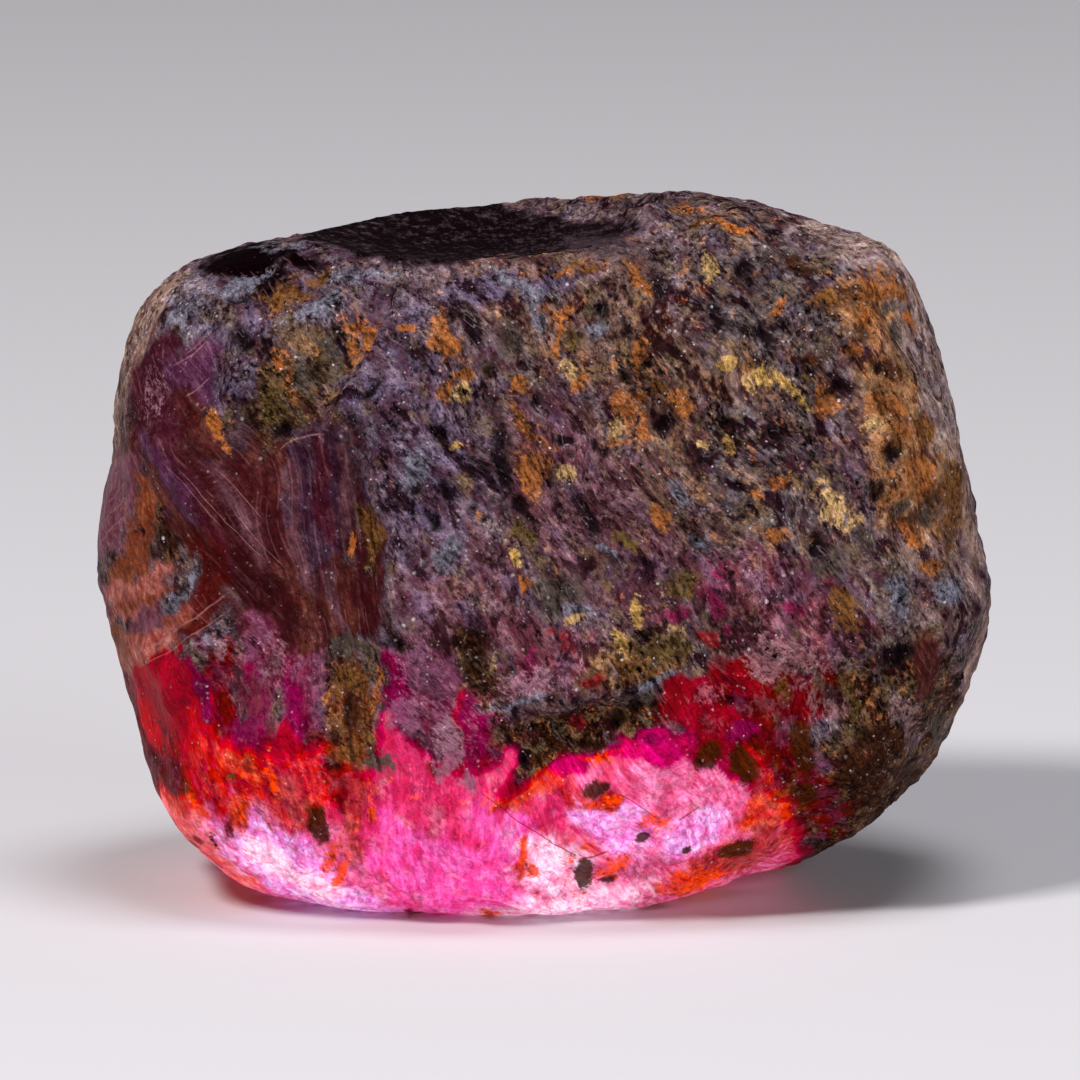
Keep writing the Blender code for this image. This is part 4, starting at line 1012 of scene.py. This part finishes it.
class Shader:
    """Builds a material's nodes. Each call returns the socket that the next one takes."""

    def __init__(self, name):
        self.material = bpy.data.materials.new(name)
        self.material.use_nodes = True
        self.nodes = self.material.node_tree.nodes
        self.links = self.material.node_tree.links
        self.surface = self.nodes["Principled BSDF"]

    def node(self, kind, inputs, **settings):
        node = self.nodes.new("ShaderNode" + kind)
        for name, value in settings.items():
            setattr(node, name, value)
        for name, value in inputs.items():
            self.set(node.inputs[name], value)
        return node

    def set(self, socket, value):
        if isinstance(value, bpy.types.NodeSocket):
            self.links.new(value, socket)
        else:
            socket.default_value = value

    def attribute(self, name, output="Fac"):
        return self.node("Attribute", {}, attribute_name=name).outputs[output]

    def math(self, operation, first, second=0.0, clamp=False):
        return self.node("Math", {0: first, 1: second}, operation=operation, use_clamp=clamp).outputs[0]

    def vector(self, operation, first, second):
        return self.node("VectorMath", {0: first, 1: second}, operation=operation).outputs[0]

    def dot(self, first, second):
        return self.node("VectorMath", {0: first, 1: second}, operation="DOT_PRODUCT").outputs["Value"]

    def noise(self, vector, size, detail=4.0, roughness=0.55, output="Fac"):
        sizes = size if isinstance(size, tuple) else (size,) * 3
        scaled = self.vector("DIVIDE", vector, sizes)
        inputs = {"Vector": scaled, "Scale": 1.0, "Detail": detail, "Roughness": roughness}
        return self.node("TexNoise", inputs).outputs[output]

    def cells(self, vector, size, feature="F1"):
        scaled = self.vector("DIVIDE", vector, (size,) * 3)
        return self.node("TexVoronoi", {"Vector": scaled, "Scale": 1.0}, feature=feature)

    def ramp(self, value, low, high):
        """From 0 where the value is at low, to 1 where it is at high."""
        inputs = {"Value": value, "From Min": low, "From Max": high}
        return self.node("MapRange", inputs, interpolation_type="SMOOTHSTEP").outputs[0]

    def mix(self, first, second, share, blend="MIX"):
        inputs = {0: share, 6: first, 7: second}
        return self.node("Mix", inputs, data_type="RGBA", blend_type=blend, clamp_factor=True).outputs[2]

    def blend(self, first, second, share):
        return self.node("Mix", {0: share, 2: first, 3: second}, data_type="FLOAT").outputs[0]

    def lines(self, name, share):
        """Fine lines, one wherever the named attribute is a whole number."""
        edge = self.math("PINGPONG", self.attribute(name), 0.5)
        return self.math("MULTIPLY", self.ramp(edge, 0.11, 0.02), share)

    def three(self, *values):
        return self.node("CombineXYZ", dict(enumerate(values))).outputs[0]

    def seams(self, lines, place, wobble):
        """1 on the given lines and 0 beside them. Each runs straight through the crystal, away from the view."""
        right, up, _ = view_directions()
        found = 0.0
        for middle, half_length, turn, bend, half_width in lines:
            cosine, sine = math.cos(math.radians(turn)), math.sin(math.radians(turn))
            origin = Vector((0, 0, MIDDLE_HEIGHT - BASE_WEAR)) + right * middle[0] + up * middle[1]
            offset = self.vector("SUBTRACT", place, origin)
            along = self.dot(offset, right * cosine + up * sine)
            across = self.math("ADD", self.dot(offset, up * cosine - right * sine), wobble)
            bow = self.math("MULTIPLY", self.math("MULTIPLY", along, along), bend)
            side = self.math("ABSOLUTE", self.math("SUBTRACT", across, bow))
            line = self.math(
                "MULTIPLY", self.ramp(side, half_width, half_width * 0.4),
                self.ramp(self.math("ABSOLUTE", along), half_length, half_length * 0.7),
            )
            found = self.math("MAXIMUM", found, line)
        return found

    def plus(self, value, amount, share):
        """value + (amount - 0.5) * share, for noise around 0.5."""
        away = self.math("SUBTRACT", amount, 0.5)
        return self.math("ADD", value, self.math("MULTIPLY", away, share))


def rgba(colour):
    return (*linear(colour), 1.0)


# How much of what lies below each of these covers
SPOT_COVER, ASH_COVER, PIT_COVER, THREAD_COVER = 0.96, 0.85, 0.8, 0.6
PALE_SEAM_COVER, CRACK_COVER, VEIL_COVER = 0.38, 0.75, 0.5
SPOT_EDGE, ASH_EDGE, GLOW_TINT_EDGE = (0.34, 0.70), (0.40, 0.72), 0.06
# Painted shade in the crust's small pits.
PIT_SHADE_COLOUR = (14, 4, 8)
# Light and dark among the grains
GRAIN_CONTRAST, BROAD_CONTRAST, CONTRAST_MIDDLE, CONTRAST = 0.6, 1.7, 0.76, 1.22
RED_RICHNESS = 0.12
# How far the painted glints are shaken, and their radius and its spread.
GLINT_SHAKE, GLINT_RADIUS, GLINT_SPREAD = 0.12, 0.10, 0.22
DULL_ROUGHNESS, GLOSS_SHARE, SURFACE_IOR, SHEEN = 0.62, 0.36, 1.5, 0.02
# Strength of the painted glow, which the base gives off in its own colour.
EMISSION = 0.31
BUMP_STRENGTH, BUMP_HEIGHT = 0.9, 0.22  # the height in millimetres


def crystal_material():
    """Streaked ground and vein, rust flecks, spots, painted shade in the gaps between grains and in the pits,
    painted glints, and a painted glow given off around the base.
    """
    s = Shader("raw_ruby")
    s.material.cycles.emission_sampling = "NONE"
    ground, vein, spot = (s.attribute(name, "Color") for name in ("ground", "vein", "spot"))
    slant, drape = s.attribute("slant", "Vector"), s.attribute("drape", "Vector")
    gloss, glow, grit = (s.attribute(name) for name in ("gloss", "glow", "grit"))
    place = s.node("TexCoord", {}).outputs["Object"]
    place = s.vector("DIVIDE", place, (MILLIMETRE,) * 3)

    draped = s.attribute("draped")
    smooth = s.math("SUBTRACT", 1.0, grit, True)
    slanting = s.noise(slant, STREAK_TEXTURE, 4.0, 0.74)
    sweeping = s.noise(slant, SWEEP_TEXTURE, 3.0, 0.70)
    hanging = s.noise(drape, PLEAT_TEXTURE, 3.0, 0.70)
    streaks = s.blend(s.blend(slanting, sweeping, s.ramp(smooth, 0.3, 0.7)), hanging, draped)
    mottle = s.noise(place, MOTTLE_SIZE, 4.0, 0.76)
    fine = s.noise(slant, FINE_TEXTURE, 3.0, 0.72)
    gaps = s.noise(slant, GAP_TEXTURE, 3.0, 0.62)
    grains = s.cells(s.vector("ADD", place, s.three(mottle, slanting, gaps)), GRAIN_TEXTURE_SIZE)
    grain_tone = s.node("SeparateColor", {0: grains.outputs["Color"]}).outputs[1]

    pattern = s.math("ADD", s.math("MULTIPLY", streaks, 0.6), s.math("MULTIPLY", mottle, 0.4))
    pattern = s.plus(pattern, s.attribute("vein_share"), 0.40)
    colour = s.mix(ground, vein, s.ramp(pattern, 0.38, 0.64))

    warm = s.attribute("flecks")
    fray = s.plus(s.plus(0.0, fine, TINT_FRAY[0]), grain_tone, TINT_FRAY[1])
    crusty = s.ramp(grit, 0.22, 0.9)
    for number, (tint, _, leaning, low, high, most) in enumerate(CRUST_TINTS):
        patch = s.plus(s.math("ADD", s.attribute(f"crust_tint_{number}"), fray), warm, leaning)
        share = s.math("MULTIPLY", s.ramp(patch, low, high), most)
        colour = s.mix(colour, rgba(tint), s.math("MULTIPLY", share, crusty))

    for number, (tint, blend, _, low, high, most, least) in enumerate(GLOW_TINTS):
        patch = s.plus(s.attribute(f"glow_tint_{number}"), fine, 0.2)
        share = s.math("MULTIPLY", s.ramp(patch, low, high), most)
        share = s.math("MULTIPLY", share, s.ramp(glow, least, least + GLOW_TINT_EDGE))
        colour = s.mix(colour, rgba(tint), share, blend)

    edge = s.plus(s.plus(s.plus(s.attribute("spot_share"), mottle, 1.3), fine, 0.5), grain_tone, 0.3)
    spotted = s.math("MULTIPLY", s.ramp(edge, *SPOT_EDGE), SPOT_COVER)
    colour = s.mix(colour, s.mix(spot, rgba(SPOT_TINT), s.ramp(streaks, 0.50, 0.36), "MULTIPLY"), spotted)

    strewn = s.plus(s.plus(s.attribute("ash_share"), slanting, 1.1), fine, 1.2)
    colour = s.mix(colour, s.attribute("ash", "Color"), s.math("MULTIPLY", s.ramp(strewn, *ASH_EDGE), ASH_COVER))

    # Painted shade in the gaps between grains, where the bump is lowest, with darker blots at random; weaker on
    # smooth parts and spots.
    blots = s.plus(s.attribute("blot"), gaps, 0.6)
    dark = s.math("MAXIMUM", s.math("MULTIPLY", s.ramp(gaps, 0.47, 0.34), 0.9), s.ramp(blots, 0.46, 0.35))
    dark = s.math("MULTIPLY", dark, s.math("SUBTRACT", grit, s.math("MULTIPLY", spotted, 0.5), True))
    shaded = s.mix(colour, rgba(GAP_SHADE_TINT), 1.0, "MULTIPLY")
    colour = s.mix(colour, shaded, dark)
    # Painted shade in the small pits dug into the crust.
    colour = s.mix(colour, rgba(PIT_SHADE_COLOUR), s.math("MULTIPLY", s.attribute("pit"), PIT_COVER))
    threads = s.math("ABSOLUTE", s.math("SUBTRACT", s.noise(slant, THREAD_TEXTURE, 2.0, 0.5), 0.5))
    threads = s.math("MULTIPLY", s.ramp(threads, 0.022, 0.004), s.ramp(mottle, 0.46, 0.58))
    threads = s.math("MULTIPLY", threads, s.math("MULTIPLY", grit, THREAD_COVER))
    colour = s.mix(colour, s.mix(colour, rgba(THREAD_TINT), 1.0, "ADD"), threads)

    tone = s.attribute("tone")
    lines = s.math("ADD", s.lines("slant_line", s.math("MULTIPLY", smooth, s.math("SUBTRACT", 1.0, draped))),
                   s.lines("drape_line", s.math("MULTIPLY", smooth, draped)))
    faint = s.math("MULTIPLY", s.ramp(tone, 0.46, 0.56), s.ramp(glow, 0.3, 0.1))
    faint = s.math("MULTIPLY", faint, s.ramp(gloss, 0.90, 0.80))
    lighter = s.mix(colour, rgba(LINE_TINT), 1.0, "ADD")
    colour = s.mix(colour, lighter, s.math("MULTIPLY", lines, faint))

    wobble = s.math("MULTIPLY", s.math("SUBTRACT", tone, 0.5), SEAM_WOBBLE)
    for seams, seam_colour, cover in (
        (PALE_SEAMS, PALE_SEAM_COLOUR, PALE_SEAM_COVER),
        (CRACKS, CRACK_COLOUR, CRACK_COVER),
    ):
        drawn = s.math("MULTIPLY", s.seams(seams, place, wobble), cover)
        colour = s.mix(colour, rgba(seam_colour), drawn)
    warp = s.vector("MULTIPLY", s.three(tone, s.attribute("broad"), s.attribute("blot")), (1.5, 1.5, 1.5))
    veils = s.cells(s.vector("ADD", place, warp), VEIL_SIZE, "DISTANCE_TO_EDGE")
    veil = s.math("MULTIPLY", s.ramp(veils.outputs["Distance"], 0.05, 0.0), s.ramp(glow, 0.5, 0.9))
    veil = s.math("MULTIPLY", veil, s.math("SUBTRACT", 1.0, spotted))
    colour = s.mix(colour, rgba(VEIL_COLOUR), s.math("MULTIPLY", veil, VEIL_COVER))

    roughened = s.math("ADD", s.math("MULTIPLY", grit, 0.8), 0.2)
    contrast = s.math("ADD", s.ramp(fine, 0.33, 0.67), s.math("MULTIPLY", grain_tone, GRAIN_CONTRAST))
    contrast = s.plus(s.math("SUBTRACT", contrast, CONTRAST_MIDDLE), s.attribute("broad"), BROAD_CONTRAST)
    contrast = s.math("MULTIPLY", s.math("MULTIPLY", contrast, roughened), CONTRAST)
    rich = s.math("SUBTRACT", s.ramp(glow, 0.10, 0.40), s.ramp(glow, 0.62, 0.74))
    colour = s.node("HueSaturation", {
        "Color": colour,
        "Saturation": s.math("ADD", 1.0, s.math("MULTIPLY", rich, RED_RICHNESS)),
        "Value": s.math("ADD", contrast, 1.0),
    }).outputs[0]

    # Painted glints: pale specks laid over the colour, thicker on the gritty crust.
    crowd = s.math("MULTIPLY", s.ramp(mottle, 0.40, 0.60), roughened)
    shaken = s.vector("ADD", place, s.vector("MULTIPLY", s.three(fine, gaps, mottle), (GLINT_SHAKE,) * 3))
    for size, share, strength in PAINTED_GLINTS:
        specks = s.cells(shaken, size)
        chances = s.node("SeparateColor", {0: specks.outputs["Color"]})
        chosen = s.ramp(s.math("ADD", chances.outputs[0], s.math("MULTIPLY", crowd, 0.2)), 1.2 - share, 1.2)
        width = s.math("ADD", s.math("MULTIPLY", chances.outputs[1], GLINT_SPREAD), GLINT_RADIUS)
        speck = s.math("MULTIPLY", s.ramp(specks.outputs["Distance"], width, 0.05), chosen)
        speck = s.math("MULTIPLY", speck, s.ramp(roughened, 0.0, 0.8))
        colour = s.mix(colour, rgba(GLINT_COLOUR), s.math("MULTIPLY", speck, strength))

    surface = s.surface
    s.set(surface.inputs["Base Color"], colour)
    rough = s.math("SUBTRACT", DULL_ROUGHNESS, s.math("MULTIPLY", gloss, GLOSS_SHARE))
    s.set(surface.inputs["Roughness"], s.plus(rough, fine, 0.3))
    surface.inputs["IOR"].default_value = SURFACE_IOR
    surface.inputs["Specular IOR Level"].default_value = SHEEN
    # Painted glow: the surface gives off its own colour as light, as much as the shine says.
    s.set(surface.inputs["Emission Color"], colour)
    s.set(surface.inputs["Emission Strength"], s.math("MULTIPLY", s.attribute("shine"), EMISSION))

    height = s.math("ADD", s.math("MULTIPLY", gaps, 0.7), s.math("MULTIPLY", fine, 0.6))
    bump = s.node("Bump", {
        "Height": s.math("MULTIPLY", height, roughened),
        "Strength": BUMP_STRENGTH,
        "Distance": BUMP_HEIGHT * MILLIMETRE,
    })
    s.set(surface.inputs["Normal"], bump.outputs[0])
    return s.material


def make_floor():
    mesh = bpy.data.meshes.new("floor")
    corners = [(-1, -1), (1, -1), (1, 1), (-1, 1)]
    mesh.from_pydata([(x * FLOOR_REACH, y * FLOOR_REACH, 0) for x, y in corners], [], [(0, 1, 2, 3)])
    floor = bpy.data.objects.new("floor", mesh)
    bpy.context.scene.collection.objects.link(floor)
    s = Shader("floor")
    s.surface.inputs["Base Color"].default_value = rgba(FLOOR_COLOUR)
    s.surface.inputs["Roughness"].default_value = 0.9
    mesh.materials.append(s.material)


def make_camera():
    right, up, away = view_directions()
    centre = PICTURE_PX / 2
    target = Vector((0, 0, MIDDLE_HEIGHT - BASE_WEAR))
    target += right * (centre - MIDDLE_PX[0]) / PX_PER_MM + up * (MIDDLE_PX[1] - centre) / PX_PER_MM
    data = bpy.data.cameras.new("camera")
    data.sensor_width = SENSOR_MM
    data.lens = SENSOR_MM * CAMERA_DISTANCE * PX_PER_MM / PICTURE_PX
    data.clip_start = 0.01
    camera = bpy.data.objects.new("camera", data)
    camera.location = (target - away * CAMERA_DISTANCE) * MILLIMETRE
    camera.rotation_euler = away.to_track_quat("-Z", "Y").to_euler()
    bpy.context.scene.collection.objects.link(camera)
    bpy.context.scene.camera = camera


LIGHTS = {  # place in millimetres, width in millimetres, watts, colour
    "key": ((-190, -210, 330), 90, 2.00, (1.0, 0.97, 0.95)),
    "fill": ((280, -240, 130), 200, 0.80, (0.97, 0.97, 1.0)),
    "top": ((60, -40, 400), 160, 1.00, (0.97, 0.97, 1.0)),
}
WORLD = ((0.80, 0.84, 0.90, 1.0), 0.03)


def make_lights():
    for name, (place, width, watts, colour) in LIGHTS.items():
        data = bpy.data.lights.new(name, "AREA")
        data.size = width * MILLIMETRE
        data.energy = watts
        data.color = colour
        light = bpy.data.objects.new(name, data)
        light.location = Vector(place) * MILLIMETRE
        towards = Vector((0, 0, MIDDLE_HEIGHT)) * MILLIMETRE - light.location
        light.rotation_euler = towards.to_track_quat("-Z", "Y").to_euler()
        bpy.context.scene.collection.objects.link(light)
    world = bpy.data.worlds.new("world")
    world.use_nodes = True
    background = world.node_tree.nodes["Background"]
    background.inputs["Color"].default_value, background.inputs["Strength"].default_value = WORLD
    bpy.context.scene.world = world


bpy.context.scene.view_settings.view_transform = "Standard"
make_camera()
make_lights()
make_floor()
ruby = make_crystal()
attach(ruby, "root")
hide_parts("ruby_crystal")
